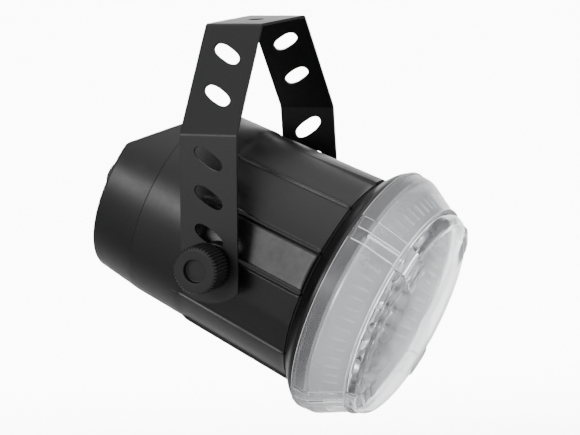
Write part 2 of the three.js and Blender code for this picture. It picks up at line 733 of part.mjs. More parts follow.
// Reflector: a plate with holes for the LEDs, a lip held under the lens cap, a silver cone
const lipX = spigotEndX + SEAT_GAP;
const lipFrontX = lipX + REFLECTOR_WALL;
const lipRadius = skirtInner - REFLECTOR_CLEARANCE;
const reflectorOuterAt = (x) => lensInnerAt(x) - REFLECTOR_CLEARANCE;
const reflectorProfile = [
  [reflectorBaseX, 0],
  [reflectorBaseX, reflectorBaseRadius],
  [lipX, reflectorOuterAt(lipX) - REFLECTOR_WALL],
  [lipX, lipRadius],
  [lipFrontX, lipRadius],
  [lipFrontX, reflectorOuterAt(lipFrontX)],
  [reflectorFrontX, reflectorOuterAt(reflectorFrontX)],
  [reflectorFrontX, reflectorOuterAt(reflectorFrontX) - REFLECTOR_WALL],
  [lipFrontX, reflectorOuterAt(lipFrontX) - REFLECTOR_WALL * 2],
  [reflectorBaseX + REFLECTOR_WALL, reflectorBaseRadius - REFLECTOR_WALL * 2],
  [reflectorBaseX + REFLECTOR_WALL, 0],
];

const ledPlaces = LED_RING_COUNTS.flatMap((count, ring) =>
  Array.from({ length: count }, (_, i) => {
    const angle = (i / count) * Math.PI * 2 + Math.PI * HALF;
    const radius = ring * boardScrewCircle * LED_PITCH_SHARE;
    return [radius * Math.cos(angle), radius * Math.sin(angle)];
  }),
);
const boardFrontX = boardX + BOARD_THICKNESS;

function reflector() {
  let solid = turned(reflectorProfile, SHELL_SEGMENTS);
  const start = reflectorBaseX - CUT_MARGIN;
  const end = reflectorBaseX + REFLECTOR_WALL + CUT_MARGIN;
  const hole = rod(start, end, LED_RADIUS + REFLECTOR_CLEARANCE, LED_SEGMENTS);
  for (const [y, z] of ledPlaces) solid = solid.subtract(shifted(hole, 0, y, z));
  return solid;
}

function led(y, z) {
  const tip = boardFrontX + LED_LENGTH;
  const profile = [
    [boardFrontX, 0],
    [boardFrontX, LED_FLANGE_RADIUS],
    [boardFrontX + LED_FLANGE_LENGTH, LED_FLANGE_RADIUS],
    [boardFrontX + LED_FLANGE_LENGTH, LED_RADIUS],
    ...LED_DOME_SHARES.map(([back, share]) => [tip - LED_RADIUS * back, LED_RADIUS * share]),
    [tip, 0],
  ];
  return shifted(turned(profile, LED_SEGMENTS), 0, y, z);
}

// A slotted screw along X: its head sits at x and its shaft runs toward lower x.
function screwSolid(x, length) {
  const shaft = rod(x - length, x + SCREW_HEAD_LENGTH * HALF, SCREW_RADIUS);
  const head = rod(x, x + SCREW_HEAD_LENGTH, SCREW_HEAD_RADIUS);
  const slot = block(
    [x + SCREW_HEAD_LENGTH, 0, 0],
    [SCREW_HEAD_LENGTH, SCREW_HEAD_RADIUS * 3, SCREW_HEAD_LENGTH * SCREW_SLOT_SHARE],
  );
  return shaft.add(head).subtract(slot);
}

function ledBoard() {
  let solid = rod(boardX, boardFrontX, boardRadius, SHELL_SEGMENTS);
  const hole = rod(boardX - CUT_MARGIN, boardFrontX + CUT_MARGIN, SCREW_RADIUS + SEAT_GAP);
  for (const angle of THREE_AROUND) {
    solid = solid.subtract(onCircle(hole, boardScrewCircle, angle));
  }
  return solid;
}

// Clamp knob with its recess and blind bore, and the stud that is moulded into it
const knobBodyY = knobBaseY + KNOB_COLLAR_LENGTH;
const knobFaceY = knobBodyY + KNOB_LENGTH;
const studOuterY = knobBaseY + STUD_GRIP;
const insertBackY = bossFaceY - BOSS_DEPTH;

// A star-shaped outline for a grip.
function gripOutline(teeth, radius, depth) {
  return Array.from({ length: teeth * 2 }, (_, i) => {
    const angle = (i / (teeth * 2)) * Math.PI * 2;
    const reach = i % 2 ? radius - depth : radius;
    return [reach * Math.cos(angle), reach * Math.sin(angle)];
  });
}

// A grip along X with turned bevels at its ends.
function gripSolid(fromX, toX, teeth, radius, depth, bevel) {
  const outline = gripOutline(teeth, radius, depth);
  const grip = prism(outline, toX - fromX).rotateY(Math.PI * HALF).translate(fromX, 0, 0);
  const envelope = turned([
    [fromX, 0],
    [fromX, radius - bevel * HALF],
    [fromX + bevel * HALF, radius],
    [toX - bevel, radius],
    [toX, radius - bevel],
    [toX, 0],
  ], teeth * 2);
  return solidOf(grip).intersect(envelope);
}

function clampKnob(side) {
  const collarEnd = knobBodyY + CUT_MARGIN;
  const collar = rod(knobBaseY, collarEnd, KNOB_COLLAR_RADIUS, ROUND_SEGMENTS);
  const body = gripSolid(knobBodyY, knobFaceY, KNOB_KNURLS, KNOB_RADIUS, KNURL_DEPTH, KNOB_BEVEL);
  const floorY = knobFaceY - KNOB_RECESS_DEPTH;
  const recess = rod(floorY, knobFaceY + CUT_MARGIN, KNOB_RECESS_RADIUS, ROUND_SEGMENTS);
  const boreStart = knobBaseY - CUT_MARGIN;
  const bore = rod(boreStart, studOuterY + SEAT_GAP, STUD_RADIUS + SEAT_GAP * HALF);
  return alongY(body.add(collar).subtract(recess).subtract(bore), side);
}

function clampStud(side) {
  return alongY(rod(insertBackY + RUNNING_GAP, studOuterY, STUD_RADIUS), side);
}

function pivotWasher(side) {
  const from = bossFaceY + SEAT_GAP;
  const profile = [
    [from, STUD_RADIUS + RUNNING_GAP],
    [from, WASHER_RADIUS],
    [from + WASHER_THICKNESS, WASHER_RADIUS],
    [from + WASHER_THICKNESS, STUD_RADIUS + RUNNING_GAP],
  ];
  return alongY(turned(profile), side);
}

function threadedInsert(side) {
  const profile = [
    [insertBackY, STUD_RADIUS + SEAT_GAP],
    [insertBackY, INSERT_RADIUS],
    [insertBackY + INSERT_LENGTH - SEAT_GAP, INSERT_RADIUS],
    [insertBackY + INSERT_LENGTH - SEAT_GAP, STUD_RADIUS + SEAT_GAP],
  ];
  return alongY(turned(profile), side);
}

// Speed control: body and bush inside, shaft, nut and knob outside the rear panel
const potFaceX = panelInsideX + SEAT_GAP;
const nutX = rearX - SEAT_GAP;
const shaftEndX = rearX - POT_SHAFT_LENGTH - POT_NUT_LENGTH;
const speedKnobX = rearX - RUNNING_GAP;

function potentiometer() {
  const body = rod(potFaceX, potFaceX + POT_LENGTH, POT_RADIUS, ROUND_SEGMENTS);
  const bush = rod(nutX - POT_NUT_LENGTH - SEAT_GAP, potFaceX + CUT_MARGIN, POT_BUSH_RADIUS);
  const bore = rod(shaftEndX, potFaceX + POT_LENGTH * HALF, POT_SHAFT_RADIUS + RUNNING_GAP);
  return shifted(body.add(bush).subtract(bore), 0, SPEED_Y, SPEED_Z);
}

function potentiometerNut() {
  const from = nutX - POT_NUT_LENGTH;
  const nut = rod(from, nutX, POT_NUT_RADIUS, NUT_SIDES);
  const bore = rod(from - CUT_MARGIN, nutX + CUT_MARGIN, POT_BUSH_RADIUS + SEAT_GAP * HALF);
  return shifted(nut.subtract(bore), 0, SPEED_Y, SPEED_Z);
}

function potentiometerShaft() {
  const shaft = rod(shaftEndX, potFaceX + POT_LENGTH * HALF - RUNNING_GAP, POT_SHAFT_RADIUS);
  return shifted(shaft, 0, SPEED_Y, SPEED_Z);
}

function speedKnob() {
  const endX = speedKnobX - SPEED_KNOB_LENGTH;
  const grip = gripSolid(
    -speedKnobX,
    -endX,
    SPEED_KNOB_FLUTES,
    SPEED_KNOB_RADIUS,
    SPEED_KNOB_FLUTE_DEPTH,
    KNOB_BEVEL,
  );
  const facing = placed(grip, new THREE.Matrix4().makeRotationZ(Math.PI));
  const nutRoom = rod(nutX - POT_NUT_LENGTH - RUNNING_GAP * 2, rearX, POT_NUT_RADIUS + RUNNING_GAP);
  const bore = rod(shaftEndX - SEAT_GAP, rearX, POT_SHAFT_RADIUS + SEAT_GAP * HALF);
  const pointer = block(
    [endX, 0, SPEED_KNOB_RADIUS * HALF],
    [POINTER_WIDTH, POINTER_WIDTH, SPEED_KNOB_RADIUS],
  );
  return shifted(facing.subtract(nutRoom).subtract(bore).subtract(pointer), 0, SPEED_Y, SPEED_Z);
}

// Power inlet with its recess for a plug, and its pins
const inletBackX = rearX - SEAT_GAP;
const inletFrontX = inletBackX - INLET_FLANGE_THICKNESS;
const recessFloorX = inletFrontX + INLET_DEPTH - INLET_WALL * 2;
const pinPlaces = [
  ["inlet_pin_line", -PIN_SPREAD * HALF, 0],
  ["inlet_pin_neutral", PIN_SPREAD * HALF, 0],
  ["inlet_pin_earth", 0, PIN_EARTH_DROP],
];

function powerInlet() {
  const flange = block(
    [(inletBackX + inletFrontX) * HALF, 0, INLET_Z],
    [INLET_FLANGE_THICKNESS, INLET_FLANGE_WIDTH, INLET_FLANGE_HEIGHT],
  );
  const body = block(
    [inletFrontX + INLET_DEPTH * HALF, 0, INLET_Z],
    [INLET_DEPTH, INLET_WIDTH, INLET_HEIGHT],
  );
  const recessDepth = recessFloorX - inletFrontX;
  const recess = block(
    [inletFrontX + (recessDepth - CUT_MARGIN) * HALF, 0, INLET_Z],
    [recessDepth + CUT_MARGIN, INLET_WIDTH - INLET_WALL * 2, INLET_HEIGHT - INLET_WALL * 2],
  );
  let solid = flange.add(body).subtract(recess);
  const holeStart = inletFrontX - CUT_MARGIN;
  const hole = rod(holeStart, inletBackX + CUT_MARGIN, SCREW_RADIUS + RUNNING_GAP);
  for (const side of [-1, 1]) {
    solid = solid.subtract(shifted(hole, 0, side * INLET_SCREW_SPREAD * HALF, INLET_Z));
  }
  for (const [, y, z] of pinPlaces) {
    const slot = block(
      [recessFloorX, y, INLET_Z + z],
      [INLET_DEPTH, PIN_WIDTH + SEAT_GAP, PIN_HEIGHT + SEAT_GAP],
    );
    solid = solid.subtract(slot);
  }
  return solid;
}

function inletPin(y, z) {
  const center = recessFloorX;
  return block([center, y, INLET_Z + z], [PIN_LENGTH, PIN_WIDTH, PIN_HEIGHT]);
}

// Electronics
const circuitBottomZ = -RAIL_DROP + SEAT_GAP;
const circuitTopZ = circuitBottomZ + BOARD_THICKNESS;
const partBottomZ = circuitTopZ + SEAT_GAP * HALF;

function controlBoard() {
  return block(
    [circuitMiddleX, 0, (circuitBottomZ + circuitTopZ) * HALF],
    [circuitLength, circuitHalfWidth * 2, BOARD_THICKNESS],
  );
}

function transformer() {
  const middleX = circuitMiddleX + TRANSFORMER_OFFSET;
  const middle = [middleX, TRANSFORMER_Y, partBottomZ + TRANSFORMER_HEIGHT * HALF];
  const coreLength = TRANSFORMER_LENGTH * TRANSFORMER_COIL_SHARE;
  const core = block(middle, [coreLength, TRANSFORMER_WIDTH, TRANSFORMER_HEIGHT]);
  const coilWidth = TRANSFORMER_WIDTH * TRANSFORMER_COIL_SHARE;
  const coilHeight = TRANSFORMER_HEIGHT * TRANSFORMER_COIL_SHARE;
  return core.add(block(middle, [TRANSFORMER_LENGTH, coilWidth, coilHeight]));
}

function capacitor() {
  const can = rod(partBottomZ, partBottomZ + CAPACITOR_LENGTH, CAPACITOR_RADIUS, SMALL_SEGMENTS);
  const upright = placed(can, new THREE.Matrix4().makeRotationY(-Math.PI * HALF));
  return shifted(upright, circuitMiddleX + CAPACITOR_OFFSET, CAPACITOR_Y, 0);
}

function heatSink() {
  const middleX = circuitMiddleX + HEAT_SINK_OFFSET;
  const middleZ = partBottomZ + HEAT_SINK_HEIGHT * HALF;
  const base = block(
    [middleX, HEAT_SINK_Y, middleZ],
    [HEAT_SINK_LENGTH, HEAT_SINK_BASE, HEAT_SINK_HEIGHT],
  );
  const pitch = (HEAT_SINK_LENGTH - HEAT_SINK_FIN) / (HEAT_SINK_FINS - 1);
  const firstX = middleX - (HEAT_SINK_LENGTH - HEAT_SINK_FIN) * HALF;
  let solid = base;
  for (let fin = 0; fin < HEAT_SINK_FINS; fin++) {
    const center = [firstX + fin * pitch, HEAT_SINK_Y + HEAT_SINK_DEPTH * HALF, middleZ];
    solid = solid.add(block(center, [HEAT_SINK_FIN, HEAT_SINK_DEPTH, HEAT_SINK_HEIGHT]));
  }
  return solid;
}

const ledLeadPoints = [
  [26, 6, circuitTopZ + LEAD_RADIUS + SEAT_GAP],
  [38, 6, circuitTopZ + LEAD_RADIUS + 4],
  [48, 4, circuitTopZ + LEAD_RADIUS + 12],
  [boardX - RUNNING_GAP * 2, 4, circuitTopZ + LEAD_RADIUS + 12],
];
const mainsLeadPoints = [
  [inletFrontX + INLET_DEPTH + RUNNING_GAP * 2, -4, INLET_Z],
  [inletFrontX + INLET_DEPTH + 5, -4, INLET_Z],
  [circuitBackX - 2, -8, INLET_Z + 1],
  [circuitBackX + 8, -12, circuitTopZ + LEAD_RADIUS + SEAT_GAP],
];

// Assembly
const strobe = new THREE.Group();
strobe.name = "strobe_light";
strobe.add(piece("mounting_bracket", bracketSolid(), COATED_STEEL));

const head = new THREE.Group();
head.name = "head";
head.position.set(0, 0, -PIVOT_DROP);
head.rotation.y = REST_TILT;
strobe.add(head);
head.add(piece("front_housing", frontHousing(), SATIN_BLACK));
head.add(piece("rear_cap", rearCap(), SATIN_BLACK));
head.add(piece("lens_cap", lensCap(), CLEAR_PLASTIC));
head.add(piece("reflector", reflector(), SILVER));
head.add(piece("led_board", ledBoard(), BOARD_GREEN));
ledPlaces.forEach(([y, z], i) => {
  const number = String(i + 1).padStart(2, "0");
  head.add(piece("led_" + number, led(y, z), CLEAR_PLASTIC));
});
const boardScrew = screwSolid(boardFrontX + SEAT_GAP, SCREW_LENGTH);
THREE_AROUND.forEach((angle, i) => {
  const screw = onCircle(boardScrew, boardScrewCircle, angle);
  head.add(piece("led_board_screw_" + (i + 1), screw, STEEL));
});
const facingBack = new THREE.Matrix4().makeRotationZ(Math.PI);
const rearSeatX = rearX + REAR_SCREW_SINK + SCREW_HEAD_LENGTH - SEAT_GAP;
const rearScrewLength = seamX + REAR_SCREW_LENGTH - CUT_MARGIN - rearSeatX;
const rearScrew = shifted(placed(screwSolid(0, rearScrewLength), facingBack), rearSeatX, 0, 0);
REAR_SCREW_ANGLES.forEach((angle, i) => {
  const screw = onCircle(rearScrew, rearScrewCircle, angle);
  head.add(piece("rear_cap_screw_" + (i + 1), screw, STEEL));
});
for (const [label, side] of [["near", -1], ["far", 1]]) {
  head.add(piece("clamp_knob_" + label, clampKnob(side), MATTE_BLACK));
  head.add(piece("clamp_stud_" + label, clampStud(side), STEEL));
  head.add(piece("pivot_washer_" + label, pivotWasher(side), RUBBER));
  head.add(piece("threaded_insert_" + label, threadedInsert(side), BRASS));
}
head.add(piece("speed_potentiometer", potentiometer(), STEEL));
head.add(piece("potentiometer_nut", potentiometerNut(), STEEL));
head.add(piece("potentiometer_shaft", potentiometerShaft(), STEEL));
head.add(piece("speed_knob", speedKnob(), MATTE_BLACK));
head.add(piece("power_inlet", powerInlet(), MATTE_BLACK));
for (const [name, y, z] of pinPlaces) head.add(piece(name, inletPin(y, z), STEEL));
const inletScrew = shifted(
  placed(screwSolid(0, SCREW_LENGTH), facingBack),
  inletFrontX - SEAT_GAP,
  0,
  INLET_Z,
);
for (const [label, side] of [["near", -1], ["far", 1]]) {
  const screw = shifted(inletScrew, 0, side * INLET_SCREW_SPREAD * HALF, 0);
  head.add(piece("inlet_screw_" + label, screw, STEEL));
}
head.add(piece("control_board", controlBoard(), BOARD_GREEN));
head.add(piece("mains_transformer", transformer(), COPPER_BROWN));
head.add(piece("storage_capacitor", capacitor(), MATTE_BLACK));
head.add(piece("driver_heat_sink", heatSink(), STEEL));
head.add(piece("led_lead", lead(ledLeadPoints), RUBBER));
head.add(piece("mains_lead", lead(mainsLeadPoints), RUBBER));

export default strobe;
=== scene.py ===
"""Strobe light in its slotted bracket: fine meshes, finishes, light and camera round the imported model.

Sizes are in millimetres and turn into metres where a mesh is made. The head has axes of its own:
their origin is the pivot, x runs along the beam, and an angle about x runs from the top of the head
toward the near side, so that y = -r sin(angle) and z = r cos(angle).
"""

import json
import logging
import math
from collections.abc import Callable, Sequence
from dataclasses import dataclass
from enum import Enum
from functools import partial

import bmesh
import bpy
import numpy as np
from mathutils import Matrix, Vector
from mathutils.geometry import tessellate_polygon

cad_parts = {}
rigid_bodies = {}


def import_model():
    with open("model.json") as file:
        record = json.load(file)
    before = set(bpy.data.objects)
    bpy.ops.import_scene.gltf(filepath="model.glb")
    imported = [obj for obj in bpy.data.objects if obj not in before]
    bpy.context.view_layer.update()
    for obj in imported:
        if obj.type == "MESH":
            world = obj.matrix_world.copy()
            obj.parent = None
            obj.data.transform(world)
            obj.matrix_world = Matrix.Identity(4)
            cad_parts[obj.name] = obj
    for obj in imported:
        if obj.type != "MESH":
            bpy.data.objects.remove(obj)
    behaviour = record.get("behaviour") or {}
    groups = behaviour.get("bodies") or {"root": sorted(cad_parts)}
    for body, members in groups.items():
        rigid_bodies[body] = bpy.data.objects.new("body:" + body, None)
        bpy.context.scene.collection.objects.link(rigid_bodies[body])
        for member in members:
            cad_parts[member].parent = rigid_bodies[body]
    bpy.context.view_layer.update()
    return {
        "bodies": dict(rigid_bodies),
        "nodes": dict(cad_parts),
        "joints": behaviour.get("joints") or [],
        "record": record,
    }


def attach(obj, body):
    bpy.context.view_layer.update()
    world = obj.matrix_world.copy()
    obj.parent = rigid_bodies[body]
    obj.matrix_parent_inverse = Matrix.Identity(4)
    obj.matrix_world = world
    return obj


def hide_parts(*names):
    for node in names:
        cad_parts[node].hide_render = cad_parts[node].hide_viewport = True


LOG = logging.getLogger("strobe_light")
MM = 0.001
WELD_MM = 0.002
SIDE_SHARE = 0.49
BEVEL_LIMIT = math.radians(40)
CARRIED_SHARP = math.radians(32)
FULL_TURN = 2 * math.pi
MARKS = "marks"
BRACKET_BODY = "bracket"
Array = np.ndarray
Socket = bpy.types.NodeSocket


class Side(Enum):
    """The two sides of the bracket: the near arm is toward -Y."""

    NEAR = -1
    FAR = 1

    @property
    def label(self) -> str:
        """The word that node names use for this side."""
        return self.name.lower()


class Pattern(Enum):
    """Kinds of surface relief that a finish can carry."""

    SPECKLE = "speckle"
    MOULDED = "moulded"
    BRUSHED = "brushed"
    LAYERED = "layered"


# Shapes of numbers


def around(count: int) -> Array:
    """Evenly spread angles over a full turn, from 0."""
    return np.arange(count) * FULL_TURN / count


def smoothstep(value: Array) -> Array:
    """Zero below 0, one above 1, and 3v^2 - 2v^3 between them."""
    clipped = np.clip(value, 0.0, 1.0)
    return clipped * clipped * (3.0 - 2.0 * clipped)


def hump(value: Array) -> Array:
    """A round hump (1 - v^2)^2 that is one at 0 and nothing beyond 1 on either side."""
    return np.clip(1.0 - value * value, 0.0, None) ** 2


def soft_minimum(first: Array, second: Array, softness: float) -> Array:
    """The lower of two arrays, with the crease between them rounded.

    Args:
        first: One surface.
        second: The other surface.
        softness: How wide the rounding is; at the crease the result is half of it lower.

    Returns:
        (a + b - sqrt((a - b)^2 + softness^2)) / 2.
    """
    return (first + second - np.sqrt((first - second) ** 2 + softness**2)) / 2


def refined_angles(count: int, centres: Sequence[float], reach: float, step: float) -> Array:
    """Angles over a full turn, evenly spread, with closer ones round some centres.

    Args:
        count: How many evenly spread angles there are.
        centres: Angles, in radians, round which more are added.
        reach: How far each side of a centre the closer angles go, in radians.
        step: The spacing of the closer angles, in radians.

    Returns:
        Sorted angles from 0 up to a full turn.
    """
    even = around(count)
    near = np.arange(-reach, reach + step / 2, step)
    extra = [(centre + near) % FULL_TURN for centre in centres]
    close = np.concatenate(extra) if extra else np.empty(0)
    gaps = np.abs((even[:, None] - close[None, :] + math.pi) % FULL_TURN - math.pi)
    kept = even[gaps.min(axis=1) > step * 0.6] if close.size else even
    return np.unique(np.round(np.concatenate([kept, close]), 6))


def folded(angles: Array) -> Array:
    """Angles from the top as 0 to pi on both sides, so that the two sides match."""
    return np.abs((angles + math.pi) % FULL_TURN - math.pi)


def turn_distance(angles: Array, centre: float) -> Array:
    """The signed angle from a centre to each angle, between -pi and pi."""
    return (angles - centre + math.pi) % FULL_TURN - math.pi


# Outlines


def filleted(
    corners: Sequence[Sequence[float]], radii: Sequence[float], closed: bool, steps: int = 5
) -> Array:
    """Rounds the corners of an outline.

    Each corner with a radius becomes a quadratic curve between two points that lie back along its
    sides by the radius, or by no more than the side share of a short side.

    Args:
        corners: The outline's corners.
        radii: One radius for each corner; a corner with radius 0 stays sharp.
        closed: Whether the last corner joins the first.
        steps: How many pieces a rounded corner has.

    Returns:
        The rounded outline's points.
    """
    points = np.asarray(corners, float)
    count = len(points)
    made = []
    for index in range(count):
        here = points[index]
        at_end = not closed and index in (0, count - 1)
        if radii[index] <= 0 or at_end:
            made.append(here[None, :])
            continue
        before = points[index - 1] - here
        after = points[(index + 1) % count] - here
        reach = min(radii[index], *(SIDE_SHARE * np.linalg.norm(side) for side in (before, after)))
        start = here + before / np.linalg.norm(before) * reach
        end = here + after / np.linalg.norm(after) * reach
        share = np.linspace(0, 1, steps + 1)[:, None]
        made.append((1 - share) ** 2 * start + 2 * share * (1 - share) * here + share**2 * end)
    return np.concatenate(made)


def subdivided(outline: Array, longest: float) -> Array:
    """Adds points along an open outline so that no side is longer than a limit.

    Args:
        outline: The points.
        longest: The longest side allowed.

    Returns:
        The outline with its new points.
    """
    made = [outline[:1]]
    for start, end in zip(outline[:-1], outline[1:]):
        pieces = max(1, math.ceil(np.linalg.norm(end - start) / longest))
        share = np.linspace(0, 1, pieces + 1)[1:, None]
        made.append(start + (end - start) * share)
    return np.concatenate(made)


def smooth_curve(points: Sequence[Sequence[float]], per_side: int) -> Array:
    """A Catmull-Rom curve through points, with its ends continued in a straight line.

    Args:
        points: The points that it passes.
        per_side: How many steps there are between two points.

    Returns:
        The curve's points.
    """
    knots = np.asarray(points, float)
    padded = np.vstack([2 * knots[0] - knots[1], knots, 2 * knots[-1] - knots[-2]])
    share = np.linspace(0, 1, per_side, endpoint=False)[:, None]
    made = []
    for a, b, c, d in zip(padded[:-3], padded[1:-2], padded[2:-1], padded[3:]):
        line = 2 * b + (c - a) * share
        made.append((line + (2 * a - 5 * b + 4 * c - d) * share**2 + (3 * b - a - 3 * c + d) * share**3) / 2)
    return np.concatenate([*made, knots[-1:]])


def ring(radius: float, angles: Array) -> Array:
    """Points of a circle about the origin of a plane, one for each angle."""
    return np.stack([radius * np.cos(angles), radius * np.sin(angles)], -1)


def circle_outline(centre: Sequence[float], radius: float, count: int = 48) -> Array:
    """A circle as points in a plane."""
    return np.asarray(centre, float) + ring(radius, around(count))


def rounded_box(centre: Sequence[float], width: float, height: float, radius: float) -> Array:
    """A rectangle with round corners as points in a plane.

    Args:
        centre: Its middle.
        width: Its width.
        height: Its height.
        radius: The corners' radius.

    Returns:
        The outline.
    """
    across, up = width / 2, height / 2
    corners = [(-across, -up), (across, -up), (across, up), (-across, up)]
    return filleted(corners, [radius] * 4, closed=True) + np.asarray(centre, float)


# Meshes


@dataclass
class Patch:
    """A surface as points, in millimetres, and faces that name them.

    Attributes:
        points: The points.
        faces: The faces, as indices of points.
        marks: A number from 0 to 1 for each point, by which the piece's finish paints shade or its zones are
            picked.
    """

    points: Array
    faces: list[list[int]]
    marks: Array | None = None

    def moved(self, change: Callable[[Array], Array]) -> "Patch":
        """The same faces on changed points."""
        return Patch(change(self.points), self.faces, self.marks)

    def shifted(self, y: float, z: float) -> "Patch":
        """The same faces moved across the head's axis."""
        return self.moved(lambda points: points + np.array([0.0, y, z]))


def grid(points: Array, wrap_rows: bool = False, wrap_columns: bool = False) -> Patch:
    """Faces over a grid of points.

    Args:
        points: Rows by columns by 3.
        wrap_rows: Whether the last row joins the first.
        wrap_columns: Whether the last column joins the first.

    Returns:
        The patch.
    """
    rows, columns = points.shape[:2]
    row = np.arange(rows if wrap_rows else rows - 1)
    column = np.arange(columns if wrap_columns else columns - 1)
    a, b = np.meshgrid(row, column, indexing="ij")
    c, d = (a + 1) % rows, (b + 1) % columns
    faces = np.stack([a * columns + b, c * columns + b, c * columns + d, a * columns + d], -1)
    return Patch(points.reshape(-1, 3), faces.reshape(-1, 4).tolist())


def combined(patches: Sequence[Patch]) -> Patch:
    """Several patches as one.

    Args:
        patches: The patches.

    Returns:
        One patch with all their points and faces.
    """
    faces: list[list[int]] = []
    offset = 0
    for patch in patches:
        faces.extend([index + offset for index in face] for face in patch.faces)
        offset += len(patch.points)
    return Patch(np.concatenate([patch.points for patch in patches]), faces)


def spread(values: Array, shape: tuple[int, int]) -> Array:
    """One value for each row, or one for each row and column, over a whole grid."""
    return np.broadcast_to(values[:, None] if values.ndim == 1 else values, shape)


def revolved(x: Array, radius: Array, angles: Array, wrap_rows: bool) -> Patch:
    """A surface turned about the head's axis, whose radius and place may change with the angle.

    Args:
        x: Places along the axis, one for each row, or rows by columns.
        radius: Radii, one for each row, or rows by columns.
        angles: Angles from the top toward the near side, one for each column.
        wrap_rows: Whether the last row joins the first.

    Returns:
        The patch of points (x, -radius sin(angle), radius cos(angle)).
    """
    shape = (len(x), len(angles))
    out = spread(radius, shape)
    points = np.stack([spread(x, shape), -out * np.sin(angles), out * np.cos(angles)], -1)
    return grid(points, wrap_rows=wrap_rows, wrap_columns=True)


def flat_plate(x: float, outline: Array, holes: Sequence[Array]) -> Patch:
    """A flat face across the head's axis, filled between its outline and its holes.

    Args:
        x: The face's place along the axis.
        outline: The outer outline as (y, z) points.
        holes: The outlines of the holes.

    Returns:
        The patch.
    """
    loops = [outline, *holes]
    flat = [[Vector((y, z, 0.0)) for y, z in loop] for loop in loops]
    triangles = tessellate_polygon(flat)
    joined = np.concatenate(loops)
    points = np.column_stack([np.full(len(joined), x), joined])
    return Patch(points, [list(triangle) for triangle in triangles])


def wall_between(outline: Array, first_x: float, second_x: float) -> Patch:
    """A wall that follows a (y, z) outline from one place along the axis to another."""
    rows = [np.column_stack([np.full(len(outline), x), outline]) for x in (first_x, second_x)]
    return grid(np.stack(rows), wrap_columns=True)


def slab(first_x: float, second_x: float, outline: Array, holes: Sequence[Array] = ()) -> Patch:
    """A flat solid between two places along the axis, with holes right through it.

    Args:
        first_x: One face's place along the axis.
        second_x: The other face's place.
        outline: The outer outline as (y, z) points.
        holes: The outlines of the holes.

    Returns:
        The closed patch.
    """
    faces = [flat_plate(x, outline, holes) for x in (first_x, second_x)]
    walls = [wall_between(loop, first_x, second_x) for loop in (outline, *holes)]
    return combined([*faces, *walls])


@dataclass(frozen=True)
class HeadFrame:
    """Where the head's own axes are in the row frame.

    Attributes:
        pivot: The pivot, in millimetres.
        tilt: How far the beam points down, in radians.
    """

    pivot: tuple[float, float, float]
    tilt: float

    @classmethod
    def from_joints(cls, joints: Sequence[dict]) -> "HeadFrame":
        """Reads the pivot from the tilt joint and the tilt from the speed control's axis.

        Args:
            joints: The record's joints.

        Returns:
            The head's frame.
        """
        found = {joint["name"]: joint for joint in joints}
        pivot = tuple(value / MM for value in found["head_tilt"]["pos_m"])
        axis = found["speed_turn"]["axis"]
        return cls(pivot, math.atan2(axis[2], -axis[0]))

    def to_row(self, points: Array) -> Array:
        """Turns points on the head's axes into the row frame.

        Args:
            points: The points, one for each row.

        Returns:
            The same points in the row frame.
        """
        cos, sin = math.cos(self.tilt), math.sin(self.tilt)
        x, y, z = points[:, 0], points[:, 1], points[:, 2]
        turned = np.stack([x * cos + z * sin, y, z * cos - x * sin], -1)
        return turned + np.asarray(self.pivot)

    def place(self, patch: Patch) -> Patch:
        """A patch on the head's axes, moved to the row frame."""
        return patch.moved(self.to_row)


def about_pivot_axis(along: Array, radius: Array, angles: Array, side: Side, wrap_rows: bool) -> Patch:
    """A surface turned about the pivot axis, on the head's axes.

    Args:
        along: Distances from the head's axis along the pivot axis, one for each row.
        radius: Radii, one for each row, or rows by columns.
        angles: Angles about the pivot axis.
        side: The side that the surface is on.
        wrap_rows: Whether the last row joins the first.

    Returns:
        The patch of points (radius cos(angle), side * along, radius sin(angle)).
    """
    shape = (len(along), len(angles))
    out = spread(radius, shape)
    points = np.stack([out * np.cos(angles), spread(along, shape) * side.value, out * np.sin(angles)], -1)
    return grid(points, wrap_rows=wrap_rows, wrap_columns=True)


def make_piece(name: str, patch: Patch, sharp_degrees: float = 34.0) -> bpy.types.Object:
    """Makes a closed mesh object from a patch.

    Points that meet are welded, faces are turned outward, and edges sharper than the limit stay
    sharp while the rest are shaded smooth.

    Args:
        name: The piece's name.
        patch: The surface, in the row frame.
        sharp_degrees: The limit for sharp edges.

    Returns:
        The object, at the origin.
    """
    mesh = bpy.data.meshes.new(name)
    mesh.from_pydata((patch.points * MM).tolist(), [], patch.faces)
    if patch.marks is not None:
        mesh.attributes.new(MARKS, "FLOAT", "POINT").data.foreach_set("value", patch.marks)
    work = bmesh.new()
    work.from_mesh(mesh)
    bmesh.ops.remove_doubles(work, verts=work.verts, dist=WELD_MM * MM)
    bmesh.ops.recalc_face_normals(work, faces=work.faces)
    work.to_mesh(mesh)
    work.free()
    mesh.shade_smooth()
    mesh.set_sharp_from_angle(angle=math.radians(sharp_degrees))
    made = bpy.data.objects.new(name, mesh)
    bpy.context.scene.collection.objects.link(made)
    return made


def bevel_edges(piece: bpy.types.Object, width: float) -> None:
    """Rounds the edges of a piece that are sharper than the bevel limit, with a live modifier.

    Args:
        piece: The piece.
        width: The rounding's width, in millimetres.
    """
    bevel = piece.modifiers.new("edge_rounding", "BEVEL")
    bevel.width = width * MM
    bevel.segments = 2
    bevel.limit_method = "ANGLE"
    bevel.angle_limit = BEVEL_LIMIT


# Finishes


